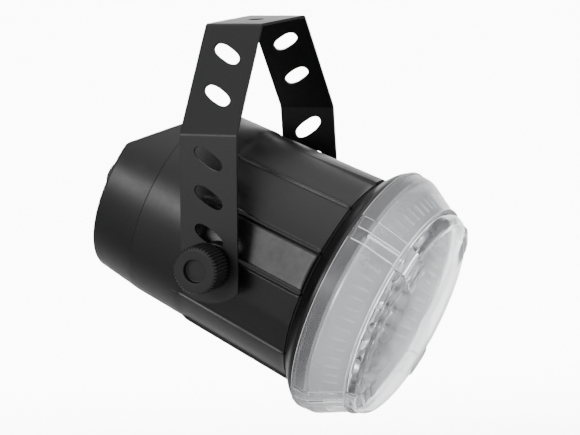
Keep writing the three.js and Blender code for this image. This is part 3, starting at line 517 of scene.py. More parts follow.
class NodeBuilder:
    """A short way to add and join shader nodes in one tree."""

    def __init__(self, tree: bpy.types.NodeTree) -> None:
        """Keeps the tree that nodes are added to."""
        self.tree = tree

    def add(self, kind: str, **settings: object) -> bpy.types.Node:
        """Adds a node and sets its own properties.

        Args:
            kind: The node's type.
            settings: Its properties.

        Returns:
            The node.
        """
        node = self.tree.nodes.new(kind)
        for key, value in settings.items():
            setattr(node, key, value)
        return node

    def join(self, source: Socket | float, target: Socket) -> None:
        """Joins an output to an input, or sets the input to a plain number."""
        if isinstance(source, (int, float)):
            target.default_value = source
        else:
            self.tree.links.new(source, target)

    def math(self, operation: str, first: Socket | float, second: Socket | float = 0.0) -> Socket:
        """A math node's result, from sockets or plain numbers.

        Args:
            operation: What it works out.
            first: The first number.
            second: The second number.

        Returns:
            The result.
        """
        node = self.add("ShaderNodeMath", operation=operation)
        for socket, value in zip(node.inputs, (first, second)):
            self.join(value, socket)
        return node.outputs[0]

    def effect(self, group: bpy.types.NodeTree, where: Socket, scale: float) -> Socket:
        """The value of a shared effect at some coordinates.

        Args:
            group: The effect's node group.
            where: The coordinates.
            scale: The pattern's scale.

        Returns:
            The effect's output.
        """
        node = self.add("ShaderNodeGroup", node_tree=group)
        self.join(where, node.inputs["Where"])
        self.join(scale, node.inputs["Scale"])
        return node.outputs[0]

    def noise(self, where: Socket, scale: Socket | float, detail: float, roughness: float = 0.5) -> Socket:
        """A noise texture's value at some coordinates.

        Args:
            where: The coordinates.
            scale: The noise's scale.
            detail: How many finer layers it has.
            roughness: How strong they are.

        Returns:
            The value.
        """
        node = self.add("ShaderNodeTexNoise")
        for key, value in (("Vector", where), ("Scale", scale), ("Detail", detail), ("Roughness", roughness)):
            self.join(value, node.inputs[key])
        return node.outputs[0]

    def remap(self, value: Socket, low: float, high: float, to_low: float, to_high: float) -> Socket:
        """A value carried from one range to another and kept inside it.

        Args:
            value: The value.
            low: The range's start.
            high: The range's end.
            to_low: What the start becomes.
            to_high: What the end becomes.

        Returns:
            The new value.
        """
        node = self.add("ShaderNodeMapRange")
        limits = {"Value": value, "From Min": low, "From Max": high, "To Min": to_low, "To Max": to_high}
        for key, number in limits.items():
            self.join(number, node.inputs[key])
        return node.outputs[0]


def effect_group(
    name: str, usual_scale: float, output: str, rule: Callable[[NodeBuilder, Socket, Socket], Socket]
) -> bpy.types.NodeTree:
    """Makes a shader node group that turns coordinates and a scale into one value.

    Args:
        name: The group's name.
        usual_scale: The scale input's usual value.
        output: The output's name.
        rule: Adds the group's nodes, from a builder, the coordinates and the scale.

    Returns:
        The group.
    """
    tree = bpy.data.node_groups.new(name, "ShaderNodeTree")
    tree.interface.new_socket("Where", in_out="INPUT", socket_type="NodeSocketVector")
    scale = tree.interface.new_socket("Scale", in_out="INPUT", socket_type="NodeSocketFloat")
    scale.default_value = usual_scale
    tree.interface.new_socket(output, in_out="OUTPUT", socket_type="NodeSocketFloat")
    build = NodeBuilder(tree)
    source = build.add("NodeGroupInput")
    made = rule(build, source.outputs["Where"], source.outputs["Scale"])
    build.join(made, build.add("NodeGroupOutput").inputs[output])
    return tree


def slow_drift(build: NodeBuilder, where: Socket, scale: Socket) -> Socket:
    """Slow change over a surface with finer smudges in it, from 0 to 1.

    Args:
        build: Adds the group's nodes.
        where: The coordinates.
        scale: The pattern's scale.

    Returns:
        The drift.
    """
    wide = build.noise(where, scale, 3.0)
    fine = build.noise(where, build.math("MULTIPLY", scale, 7.0), 5.0, 0.6)
    mixed = build.math("ADD", build.math("MULTIPLY", wide, 0.65), build.math("MULTIPLY", fine, 0.35))
    return build.remap(mixed, 0.3, 0.7, 0.0, 1.0)


def powder_bumps(build: NodeBuilder, where: Socket, scale: Socket) -> Socket:
    """The small round bumps of a baked powder coat.

    Args:
        build: Adds the group's nodes.
        where: The coordinates.
        scale: The pattern's scale.

    Returns:
        The height.
    """
    cells = build.add("ShaderNodeTexVoronoi", feature="SMOOTH_F1")
    build.join(where, cells.inputs["Vector"])
    build.join(scale, cells.inputs["Scale"])
    wave = build.noise(where, build.math("MULTIPLY", scale, 0.35), 2.0)
    rise = build.math("SUBTRACT", 1.0, cells.outputs["Distance"])
    return build.math("ADD", build.math("MULTIPLY", rise, 0.6), wave)


def moulded_grain(build: NodeBuilder, where: Socket, scale: Socket) -> Socket:
    """The fine spark-eroded grain of moulded plastic, with faint sink waves under it.

    Args:
        build: Adds the group's nodes.
        where: The coordinates.
        scale: The pattern's scale.

    Returns:
        The height.
    """
    grain = build.noise(where, scale, 2.0, 0.7)
    wave = build.noise(where, build.math("MULTIPLY", scale, 0.02), 1.0)
    return build.math("ADD", build.math("MULTIPLY", grain, 0.4), wave)


def brush_marks(build: NodeBuilder, where: Socket, scale: Socket) -> Socket:
    """Long thin marks across a metal surface.

    Args:
        build: Adds the group's nodes.
        where: The coordinates.
        scale: The pattern's scale.

    Returns:
        The height.
    """
    stretch = build.add("ShaderNodeMapping")
    stretch.inputs["Scale"].default_value = (1.0, 0.06, 1.0)
    build.join(where, stretch.inputs["Vector"])
    return build.noise(stretch.outputs[0], scale, 4.0, 0.7)


def stacked_sheets(build: NodeBuilder, where: Socket, scale: Socket) -> Socket:
    """Thin stacked sheets, such as laminations or the weave under a board's mask.

    Args:
        build: Adds the group's nodes.
        where: The coordinates.
        scale: The pattern's scale.

    Returns:
        The height.
    """
    bands = build.add("ShaderNodeTexWave", wave_type="BANDS", bands_direction="X")
    for key, value in (("Vector", where), ("Scale", scale), ("Distortion", 0.6)):
        build.join(value, bands.inputs[key])
    return bands.outputs[1]


class Effects:
    """The shader node groups that the finishes share, each built once."""

    def __init__(self) -> None:
        """Builds every group."""
        self.drift = effect_group("slow_drift", 30.0, "Drift", slow_drift)
        rules = {
            Pattern.SPECKLE: (900.0, powder_bumps),
            Pattern.MOULDED: (1500.0, moulded_grain),
            Pattern.BRUSHED: (800.0, brush_marks),
            Pattern.LAYERED: (500.0, stacked_sheets),
        }
        self.relief = {}
        for pattern, (scale, rule) in rules.items():
            self.relief[pattern] = effect_group(rule.__name__, scale, "Height", rule)


@dataclass(frozen=True)
class Finish:
    """An opaque or clear surface whose colour and gloss drift slightly, with fine relief.

    Attributes:
        name: The material's name.
        color: Base colour, linear.
        roughness: Middle roughness.
        pattern: The kind of relief.
        scale: The relief's scale, per metre.
        relief: The relief's depth, in millimetres.
        drift_scale: The drift's scale, per metre.
        color_drift: How far the colour drifts, as a share.
        roughness_drift: How far the roughness drifts.
        metallic: Metallic value.
        transmission: How much light goes through.
        ior: Index of refraction.
        coat: Weight of a clear coat.
        hollow_shade: How far the colour is darkened where the mesh's mark is one, as painted shade.
    """

    name: str
    color: tuple[float, float, float]
    roughness: float
    pattern: Pattern = Pattern.MOULDED
    scale: float = 1500.0
    relief: float = 0.01
    drift_scale: float = 30.0
    color_drift: float = 0.15
    roughness_drift: float = 0.05
    metallic: float = 0.0
    transmission: float = 0.0
    ior: float = 1.5
    coat: float = 0.0
    hollow_shade: float = 0.0

    def material(self, effects: Effects) -> bpy.types.Material:
        """Builds the material.

        Args:
            effects: The shared node groups.

        Returns:
            The material.
        """
        made = bpy.data.materials.new(self.name)
        made.use_nodes = True
        made.node_tree.nodes.clear()
        build = NodeBuilder(made.node_tree)
        where = build.add("ShaderNodeTexCoord").outputs["Object"]
        shader = build.add("ShaderNodeBsdfPrincipled")
        plain = {
            "Metallic": self.metallic,
            "IOR": self.ior,
            "Transmission Weight": self.transmission,
            "Coat Weight": self.coat,
        }
        for key, value in plain.items():
            build.join(value, shader.inputs[key])

        drift = build.effect(effects.drift, where, self.drift_scale)
        mix = build.add("ShaderNodeMix", data_type="RGBA")
        build.join(drift, mix.inputs[0])
        darker = [channel * (1 - self.color_drift) for channel in self.color]
        lighter = [min(1.0, channel * (1 + self.color_drift)) for channel in self.color]
        mix.inputs[6].default_value = (*darker, 1.0)
        mix.inputs[7].default_value = (*lighter, 1.0)
        build.join(self.shaded(build, mix.outputs[2]), shader.inputs["Base Color"])
        low = max(0.0, self.roughness - self.roughness_drift)
        high = self.roughness + self.roughness_drift
        build.join(build.remap(drift, 0.0, 1.0, low, high), shader.inputs["Roughness"])

        height = build.effect(effects.relief[self.pattern], where, self.scale)
        bump = build.add("ShaderNodeBump")
        for key, value in (("Strength", 1.0), ("Distance", self.relief * MM), ("Height", height)):
            build.join(value, bump.inputs[key])
        build.join(bump.outputs[0], shader.inputs["Normal"])
        out = build.add("ShaderNodeOutputMaterial")
        build.join(shader.outputs[0], out.inputs["Surface"])
        return made

    def shaded(self, build: NodeBuilder, color: Socket) -> Socket:
        """Darkens a colour by the mesh's marks.

        Args:
            build: The material's node builder.
            color: The colour before darkening.

        Returns:
            The colour times one less the mark's share of the hollow shade.
        """
        if self.hollow_shade == 0.0:
            return color
        # Painted shade: the colour is darkened where the mesh's marks are high.
        marks = build.add("ShaderNodeAttribute", attribute_name=MARKS)
        mix = build.add("ShaderNodeMix", data_type="RGBA", blend_type="MULTIPLY")
        left = 1.0 - self.hollow_shade
        mix.inputs[7].default_value = (left, left, left, 1.0)
        build.join(marks.outputs["Fac"], mix.inputs[0])
        build.join(color, mix.inputs[6])
        return mix.outputs[2]


POWDER_COAT = Finish(
    "satin_powder_coat", (0.0025, 0.0025, 0.0026), 0.4, Pattern.SPECKLE, 900.0, 0.012, 18.0, 0.12, 0.05
)
HOUSING_BLACK = Finish(
    "satin_moulded_black", (0.0025, 0.0025, 0.0027), 0.35, Pattern.MOULDED, 1600.0, 0.016, 42.0, 0.2, 0.06
)
KNOB_BLACK = Finish(
    "matte_knob_black", (0.004, 0.004, 0.0042), 0.46, Pattern.MOULDED, 1900.0, 0.014, 60.0, 0.15, 0.05
)
CLEAR_LENS = Finish(
    "clear_lens", (0.95, 0.955, 0.985), 0.25, Pattern.MOULDED, 500.0, 0.003, 25.0, 0.02, 0.03,
    transmission=0.95, ior=1.49,
)
LENS_INSIDE = Finish(
    "lens_inside", (0.96, 0.965, 0.98), 0.04, Pattern.MOULDED, 500.0, 0.003, 25.0, 0.02, 0.03,
    transmission=0.985, ior=1.49,
)
CLOUDY_LENS = Finish(
    "cloudy_lens", (0.93, 0.945, 0.99), 0.05, Pattern.MOULDED, 500.0, 0.02, 110.0, 0.06, 0.03,
    transmission=0.76, ior=1.49,
)
LENS_FACE = Finish(
    "lens_face", (0.94, 0.95, 0.99), 0.02, Pattern.MOULDED, 400.0, 0.06, 150.0, 0.06, 0.01,
    transmission=0.98, ior=1.49,
)
# Opaque white: painted highlights on the lens's rim and on the lugs' edge lines, which stand for edges in the
# clear plastic that catch the light.
PAINTED_HIGHLIGHT_EDGE = Finish(
    "bright_lens_edge", (0.98, 0.98, 0.99), 0.12, Pattern.MOULDED, 500.0, 0.003, 25.0, 0.02, 0.03,
    transmission=0.0, ior=1.49,
)
CLEAR_EPOXY = Finish(
    "clear_epoxy", (0.95, 0.955, 0.965), 0.1, Pattern.MOULDED, 600.0, 0.002, 90.0, 0.02, 0.02,
    transmission=0.4, ior=1.5,
)
SILVERED = Finish(
    "silvered_plastic", (0.84, 0.845, 0.86), 0.3, Pattern.MOULDED, 700.0, 0.004, 40.0, 0.05, 0.06,
    metallic=1.0,
)
# Its marks paint shade onto the silver: at the bottoms of the LED cups, between the foot's bumps and between
# the liner's ridges, which leaves the ridges as painted highlights.
SILVERED_DISH = Finish(
    "silvered_dish", (0.93, 0.935, 0.96), 0.3, Pattern.MOULDED, 520.0, 0.25, 40.0, 0.05, 0.06,
    metallic=1.0, hollow_shade=0.93,
)
ZINC_STEEL = Finish(
    "zinc_plated_steel", (0.5, 0.5, 0.51), 0.33, Pattern.BRUSHED, 1200.0, 0.004, 90.0, 0.12, 0.08,
    metallic=1.0,
)
MACHINED_BRASS = Finish(
    "machined_brass", (0.62, 0.44, 0.16), 0.3, Pattern.BRUSHED, 1400.0, 0.004, 120.0, 0.1, 0.06,
    metallic=1.0,
)
EXTRUDED_ALUMINIUM = Finish(
    "extruded_aluminium", (0.6, 0.6, 0.62), 0.38, Pattern.BRUSHED, 900.0, 0.006, 80.0, 0.08, 0.06,
    metallic=1.0,
)
WASHER_RUBBER = Finish(
    "washer_rubber", (0.012, 0.012, 0.012), 0.78, Pattern.SPECKLE, 2500.0, 0.02, 90.0, 0.2, 0.08
)
LEAD_SHEATH = Finish(
    "lead_sheath", (0.02, 0.02, 0.02), 0.55, Pattern.MOULDED, 1500.0, 0.01, 60.0, 0.2, 0.06
)
SOLDER_MASK = Finish(
    "solder_mask", (0.02, 0.13, 0.05), 0.3, Pattern.LAYERED, 260.0, 0.01, 120.0, 0.35, 0.08, coat=0.4
)
VARNISHED_IRON = Finish(
    "varnished_iron", (0.1, 0.07, 0.05), 0.4, Pattern.LAYERED, 420.0, 0.05, 70.0, 0.3, 0.08, metallic=0.6
)
CAN_SLEEVE = Finish(
    "can_sleeve", (0.02, 0.025, 0.06), 0.35, Pattern.MOULDED, 700.0, 0.01, 90.0, 0.2, 0.06, coat=0.3
)
POINTER_WHITE = Finish(
    "pointer_white", (0.75, 0.75, 0.73), 0.5, Pattern.SPECKLE, 2200.0, 0.01, 200.0, 0.06, 0.05
)
FLOOR_PAPER = Finish(
    "floor_paper", (0.84, 0.84, 0.84), 0.8, Pattern.SPECKLE, 400.0, 0.02, 3.0, 0.01, 0.04
)


class Workshop:
    """Makes pieces and gives each its finish, its body and the nodes that it stands for."""

    def __init__(self, frame: dict) -> None:
        """Keeps the frame and builds the shared effects.

        Args:
            frame: The loaded frame.
        """
        self.nodes = frame["nodes"]
        self.head = HeadFrame.from_joints(frame["joints"])
        self.effects = Effects()
        self.materials: dict[str, bpy.types.Material] = {}

    def material(self, finish: Finish) -> bpy.types.Material:
        """The material of a finish, built on first use."""
        if finish.name not in self.materials:
            self.materials[finish.name] = finish.material(self.effects)
        return self.materials[finish.name]

    def craft(
        self,
        name: str,
        patch: Patch,
        finish: Finish,
        body: str,
        stands_for: Sequence[str] = (),
        sharp_degrees: float = 34.0,
    ) -> bpy.types.Object:
        """Makes a piece from a patch, gives it its finish and its body, and hides the nodes that it stands
        for.

        Args:
            name: The piece's name.
            patch: Its surface, in the row frame on the bracket and on the head's axes elsewhere.
            finish: Its finish.
            body: The body that it rides on.
            stands_for: The nodes that it replaces.
            sharp_degrees: The limit for sharp edges.

        Returns:
            The piece.
        """
        placed = patch if body == BRACKET_BODY else self.head.place(patch)
        piece = make_piece(name, placed, sharp_degrees)
        piece.data.materials.append(self.material(finish))
        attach(piece, body)
        if stands_for:
            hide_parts(*stands_for)
        LOG.info("%s: %d faces on %s", piece.name, len(piece.data.polygons), body)
        return piece

    def refinish(self, node: str, finish: Finish) -> None:
        """Gives a carried-over node a finish.

        Args:
            node: The node.
            finish: Its finish.
        """
        mesh = self.nodes[node].data
        mesh.materials.clear()
        mesh.materials.append(self.material(finish))
        mesh.set_sharp_from_angle(angle=CARRIED_SHARP)


# Bracket


@dataclass(frozen=True)
class Bracket:
    """The slotted strip, bent in one plane, on which the head hangs.

    The flat pattern has u across the strip and s along it, from the near arm's end, measured on the
    outer face and through the corners as if they weren't rounded.
    """

    strip_width: float = 34.0
    thickness: float = 1.5
    bend_radius: float = 2.0
    top_length: float = 56.0
    shoulder_drop: float = 56.0
    shoulder_half_spread: float = 64.0
    splay: float = math.radians(3.9)
    pivot_drop: float = 125.7
    arm_end_drop: float = 146.2
    arm_end_radius: float = 27.0
    hanging_hole_radius: float = 4.5
    pivot_hole_radius: float = 3.3
    slot_length: float = 19.0
    slot_width: float = 7.6
    slot_angle: float = math.radians(33.5)
    slot_squareness: float = 2.5
    upper_slots: tuple[float, ...] = (18.1, 43.0)
    lower_slots: tuple[float, ...] = (12.8, 33.5, 54.2)
    slot_cell: float = 18.0
    hole_cell: float = 12.0
    columns: int = 40
    cell_rows: int = 40
    bend_rows: int = 41
    end_rows: int = 7
    row_step: float = 6.0
    ring_shares: tuple[float, ...] = (0.0, 0.06, 0.2, 0.5, 1.0)
    edge_round: float = 0.22

    def corners(self) -> Array:
        """The outer face's corners as (y, z), from the near arm's end to the far arm's end.

        Returns:
            The six corners.
        """
        drop = self.arm_end_drop - self.shoulder_drop
        end = self.shoulder_half_spread + drop * math.tan(self.splay)
        half = [
            (-end, -self.arm_end_drop),
            (-self.shoulder_half_spread, -self.shoulder_drop),
            (-self.top_length / 2, 0.0),
        ]
        return np.asarray([*half, *[(-y, z) for y, z in reversed(half)]])

    def path(self, s: Array) -> tuple[Array, Array]:
        """Points of the outer face, and the direction in toward the inner face.

        Straight stretches run between the corners. Near a corner the path follows an arc: the centre
        lies in from both stretches by the outer bend radius, and the angle grows evenly with s.

        Args:
            s: Distances along the pattern.

        Returns:
            The (y, z) points and the (y, z) unit vectors that point in.
        """
        corners = self.corners()
        sides = np.diff(corners, axis=0)
        lengths = np.linalg.norm(sides, axis=1)
        along = sides / lengths[:, None]
        inward = np.stack([along[:, 1], -along[:, 0]], -1)
        starts = np.concatenate([[0.0], np.cumsum(lengths)])
        index = np.clip(np.searchsorted(starts, s, side="right") - 1, 0, len(lengths) - 1)
        points = corners[index] + along[index] * (s - starts[index])[:, None]
        normals = inward[index].copy()
        outer = self.bend_radius + self.thickness
        for k in range(1, len(corners) - 1):
            cosine = float(np.clip(along[k - 1] @ along[k], -1, 1))
            turn = math.acos(cosine)
            reach = outer * math.tan(turn / 2)
            near = np.abs(s - starts[k]) < reach
            centre = corners[k] - along[k - 1] * reach + inward[k - 1] * outer
            angle = -turn * (s[near] - starts[k] + reach) / (2 * reach)
            cos, sin = np.cos(angle), np.sin(angle)
            x, y = inward[k - 1]
            normals[near] = np.stack([x * cos - y * sin, x * sin + y * cos], -1)
            points[near] = centre - normals[near] * outer
        return points, normals

    def lifted(self, pattern: Array, depth: float) -> Array:
        """Pattern points (u, s) as points in space, a depth below the outer face.

        Args:
            pattern: Grid of pattern points.
            depth: How far below the outer face.

        Returns:
            The points in space, in the same grid.
        """
        points, normals = self.path(pattern[..., 1].ravel())
        placed = points + normals * depth
        u = pattern[..., 0].ravel()
        return np.column_stack([u, placed]).reshape(*pattern.shape[:-1], 3)

    def both_faces(self, pattern: Array, wrap_columns: bool = False) -> list[Patch]:
        """The outer and the inner face over a grid of pattern points."""
        depths = (0.0, self.thickness)
        return [grid(self.lifted(pattern, depth), wrap_columns=wrap_columns) for depth in depths]

    def edge(self, line: Array, closed: bool = False) -> Patch:
        """The cut edge that follows a line of pattern points."""
        rows = [self.lifted(line, depth) for depth in (0.0, self.thickness)]
        return grid(np.stack(rows), wrap_columns=closed)

    def sides(self, pattern: Array) -> list[Patch]:
        """The strip's two long edges beside a grid of pattern points."""
        return [self.edge(pattern[:, 0]), self.edge(pattern[:, -1])]

    def slot_outline(self, directions: Array) -> Array:
        """A slot's edge as a superellipse, turned in the pattern, one point for each direction.

        Args:
            directions: Directions from the slot's centre.

        Returns:
            The edge's pattern points about the centre.
        """
        local = directions + self.slot_angle
        squeeze = (self.slot_length / self.slot_width) ** 0.6
        turned = np.arctan2(np.sin(local) * squeeze, np.cos(local))
        power = 2 / self.slot_squareness
        along = np.sign(np.cos(turned)) * np.abs(np.cos(turned)) ** power * self.slot_length / 2
        across = np.sign(np.sin(turned)) * np.abs(np.sin(turned)) ** power * self.slot_width / 2
        cos, sin = math.cos(-self.slot_angle), math.sin(-self.slot_angle)
        return np.stack([along * cos - across * sin, along * sin + across * cos], -1)

    def hole_cell_patches(
        self, centre: float, length: float, outline: Callable[[Array], Array]
    ) -> list[Patch]:
        """A stretch of strip with one hole: rings that go from the hole's edge to the stretch's edge.

        Args:
            centre: The hole's place along the pattern.
            length: The stretch's length.
            outline: Gives the hole's edge, about its centre, for directions.

        Returns:
            Faces, the hole's edge and the strip's long edges.
        """
        half = self.strip_width / 2
        u = np.linspace(-half, half, self.columns + 1)
        s = np.linspace(-length / 2, length / 2, self.cell_rows + 1)
        border = np.concatenate([
            np.column_stack([u[:-1], np.full(self.columns, s[0])]),
            np.column_stack([np.full(self.cell_rows, half), s[:-1]]),
            np.column_stack([u[:0:-1], np.full(self.columns, s[-1])]),
            np.column_stack([np.full(self.cell_rows, -half), s[:0:-1]]),
        ])
        rim = outline(np.arctan2(border[:, 1], border[:, 0]))
        share = np.array(self.ring_shares)[:, None, None]
        place = np.array([0.0, centre])
        pattern = rim + (border - rim) * share + place
        long_edges = [np.column_stack([np.full(len(s), side), s]) + place for side in (-half, half)]
        faces = self.both_faces(pattern, wrap_columns=True)
        return [*faces, self.edge(rim + place, closed=True), *[self.edge(line) for line in long_edges]]

    def plain_patches(self, start: float, end: float, bends: Array) -> list[Patch]:
        """A stretch of strip with no hole, with closer rows where it bends.

        Args:
            start: Where it starts along the pattern.
            end: Where it ends.
            bends: The corners' places along the pattern.

        Returns:
            Faces and long edges.
        """
        outer = self.bend_radius + self.thickness
        rows = [np.linspace(start, end, max(2, math.ceil((end - start) / self.row_step) + 1))]
        rows += [bend + np.linspace(-outer, outer, self.bend_rows) for bend in bends]
        s = np.concatenate(rows)
        s = np.unique(np.round(s[(s > start + 0.01) & (s < end - 0.01)], 4))
        s = np.concatenate([[start], s, [end]])
        u = np.linspace(-self.strip_width / 2, self.strip_width / 2, self.columns + 1)
        pattern = np.stack(np.meshgrid(u, s), -1)
        return [*self.both_faces(pattern), *self.sides(pattern)]

    def end_patches(self, total: float, inner: float, far: bool) -> list[Patch]:
        """A round arm end, from its arc to a place along the pattern.

        Args:
            total: The pattern's length.
            inner: The place along the pattern where the end stops.
            far: Whether it is the far arm's end.

        Returns:
            Faces, long edges and the round edge.
        """
        half = self.strip_width / 2
        u = np.linspace(-half, half, self.columns + 1)
        drop = self.arm_end_drop - self.arm_end_radius + np.sqrt(self.arm_end_radius**2 - u**2)
        tip = (self.arm_end_drop - drop) / math.cos(self.splay)
        tip = total - tip if far else tip
        share = np.linspace(0, 1, self.end_rows)[:, None]
        s = tip + (inner - tip) * share
        pattern = np.stack([np.broadcast_to(u, s.shape), s], -1)
        return [*self.both_faces(pattern), *self.sides(pattern), self.edge(pattern[0])]

    def build(self, shop: Workshop) -> None:
        """Makes the strip out of its stretches and dresses it.

        Args:
            shop: Makes and dresses the pieces.
        """
        corners = self.corners()
        lengths = np.linalg.norm(np.diff(corners, axis=0), axis=1)
        starts = np.concatenate([[0.0], np.cumsum(lengths)])
        total = starts[-1]
        pivot = (self.pivot_drop - self.shoulder_drop) / math.cos(self.splay)
        cells = [(starts[1] - d, self.slot_cell, self.slot_outline) for d in self.lower_slots]
        cells += [(starts[2] - d, self.slot_cell, self.slot_outline) for d in self.upper_slots]
        cells.append((starts[1] - pivot, self.hole_cell, partial(ring, self.pivot_hole_radius)))
        cells += [(total - place, length, outline) for place, length, outline in cells]
        cells.append((total / 2, self.hole_cell, partial(ring, self.hanging_hole_radius)))
        cells.sort(key=lambda cell: cell[0])

        bounds = [(place - length / 2, place + length / 2) for place, length, _ in cells]
        patches = self.end_patches(total, bounds[0][0], far=False)
        patches += self.end_patches(total, bounds[-1][1], far=True)
        for (_, low), (high, _) in zip(bounds[:-1], bounds[1:]):
            patches += self.plain_patches(low, high, starts[1:-1])
        for place, length, outline in cells:
            patches += self.hole_cell_patches(place, length, outline)
        strip, nodes = combined(patches), ["mounting_bracket"]
        piece = shop.craft("bracket_strip", strip, POWDER_COAT, BRACKET_BODY, nodes)
        bevel_edges(piece, self.edge_round)


# Head shells


@dataclass(frozen=True)
class FrontHousing:
    """The slightly conical tube with long ribs, its flare and flange, and the two pivot bosses."""

    wall: float = 2.5
    seam_x: float = -53.08
    seam_radius: float = 57.2
    seam_groove: float = 0.1
    panel_end_x: float = 51.5
    panel_end_radius: float = 61.8
    panel_step: float = 0.9
    panel_row: float = 2.5
    panel_fade: tuple[float, float] = (-0.2, 0.5)
    crest_fade: tuple[float, float] = (0.95, 0.3)
    panel_edge: tuple[tuple[float, float], ...] = ((-0.45, 0.0), (-0.1, -0.12), (0.12, -0.45), (0.4, -0.78))
    flare: tuple[tuple[float, float], ...] = (
        (52.4, 60.9), (52.94, 62.1), (56.65, 67.0), (59.74, 70.2), (61.8, 71.0),
    )
    flange_front_x: float = 62.7
    spigot_radius: float = 70.2
    spigot_end_x: float = 71.5
    mouth_x: float = 64.0
    waist_inside: tuple[float, float] = (57.5, 64.6)
    border_degrees: tuple[float, ...] = (31.3, 62.3, 83.6, 122.3, 151.0)
    facet_degrees: tuple[float, ...] = (0.0, 31.3, 62.3, 83.6, 102.0, 122.3, 151.0, 180.0)
    facet_flatness: tuple[float, ...] = (0.1, 0.25, 1.0, 0.85, 0.85, 0.15, 0.15)
    relief_start_x: float = -22.0
    relief_run_in: float = 4.0
    relief_shares: tuple[float, float] = (0.3, 0.338)
    border_width: float = 0.7
    sunken_depth: float = 0.45
    raised_height: float = 0.3
    crest_rise: float = 0.8
    crest_half_width: float = 0.95
    crest_offset: float = -0.8
    groove_depth: float = 0.3
    groove_half_width: float = 0.5
    groove_offsets: tuple[float, ...] = (-2.2, 0.9)
    strip_half_width: float = 4.7
    strip_start_x: float = -2.0
    strip_rise: float = 1.3
    strip_flank: float = 1.3
    boss_radius: float = 11.0
    boss_face: float = 64.3
    boss_back: float = 52.0
    boss_bore: float = 3.3
    boss_columns: int = 96
    columns: int = 200
    close_reach: float = math.radians(3.4)
    close_step: float = math.radians(0.22)

    def outer_profile(self) -> Array:
        """The outside from the seam to the spigot's end, as (x, radius) points.

        Returns:
            The profile's points.
        """
        end = self.panel_end_x
        rise = self.panel_end_radius - self.seam_radius
        relief_x = (self.relief_start_x, self.relief_start_x + self.relief_run_in)
        panel = subdivided(
            np.array([
                (self.seam_x + self.seam_groove + 0.4, self.seam_radius),
                *((x, self.seam_radius + rise * share) for x, share in zip(relief_x, self.relief_shares)),
                (end - 1.2, self.panel_end_radius),
            ]),
            self.panel_row,
        )
        lead_in = np.array([
            (self.seam_x, self.seam_radius - self.seam_groove),
            (self.seam_x + self.seam_groove, self.seam_radius - 0.02),
        ])
        edge = np.array(self.panel_edge) + np.array([end, self.panel_end_radius])
        flare = smooth_curve(self.flare, 6)
        flange = filleted(
            [(61.9, 71.0), (self.flange_front_x, 71.0), (self.flange_front_x, self.spigot_radius),
             (self.spigot_end_x, self.spigot_radius), (self.spigot_end_x, self.spigot_radius - self.wall)],
            [0, 0.3, 0.2, 0.3, 0],
            closed=False,
            steps=3,
        )
        return np.concatenate([lead_in, panel, edge, flare, flange])

    def inner_profile(self) -> Array:
        """The inside, from the spigot's end back to the seam.

        Returns:
            The profile's points.
        """
        return np.array([
            (self.mouth_x, self.spigot_radius - self.wall),
            self.waist_inside,
            (self.panel_end_x, self.panel_end_radius - self.panel_step - self.wall),
            (self.seam_x, self.seam_radius - self.wall),
        ])

    def panel_relief(self, x: Array, angles: Array) -> Array:
        """How far the outside stands off the plain cone.

        Five borders on each side part the outside into panels that are sunken and raised in turn,
        with the top one sunken. A strip along the very top rises evenly out of the cone toward the
        front. Across a border, at t millimetres toward its sunken side, the height falls from the
        raised to the sunken level as a smooth step, with a rounded crest on the raised side and a
        narrow groove on each side. A panel is also drawn toward the flat chord between its ends,
        whose radius is r cos(half the span) / cos(angle from the middle). All of it starts behind
        the pivot and ends at the panels' end.

        Args:
            x: Places along the axis.
            angles: Angles from the top.

        Returns:
            Millimetres for each place and angle.
        """
        turned = folded(angles)[None, :]
        slope = (self.panel_end_radius - self.seam_radius) / (self.panel_end_x - self.seam_x)
        radius = self.seam_radius + (x[:, None] - self.seam_x) * slope
        begins = smoothstep((x[:, None] - self.relief_start_x) / self.relief_run_in)
        panel, crest_reach = (
            begins * smoothstep((self.panel_end_x + past - x[:, None]) / length)
            for past, length in (self.panel_fade, self.crest_fade)
        )
        relief = np.zeros((len(x), len(angles)))
        facets = np.radians(self.facet_degrees)
        for low, high, share in zip(facets[:-1], facets[1:], self.facet_flatness):
            middle, half = (low + high) / 2, (high - low) / 2
            inside = np.abs(turned - middle) <= half
            chord = math.cos(half) / np.cos(np.where(inside, turned - middle, 0.0)) - 1.0
            relief += np.where(inside, radius * chord * share, 0.0) * panel
        step = self.raised_height + self.sunken_depth
        level = np.full_like(turned, -self.sunken_depth) * panel
        for index, border in enumerate(np.radians(self.border_degrees)):
            toward_sunken = -1.0 if index % 2 == 0 else 1.0
            distance = (turned - border) * radius
            t = distance * toward_sunken
            level = level - toward_sunken * step * smoothstep(distance / self.border_width + 0.5) * panel
            relief += self.crest_rise * hump((t - self.crest_offset) / self.crest_half_width) * crest_reach
            for offset in self.groove_offsets:
                relief -= self.groove_depth * hump((t - offset) / self.groove_half_width) * panel
        run = np.clip((x[:, None] - self.strip_start_x) / (self.panel_end_x - self.strip_start_x), 0.0, 1.0)
        strip = smoothstep((self.strip_half_width - turned * radius) / self.strip_flank + 0.5)
        return relief + level + self.strip_rise * run * strip * crest_reach

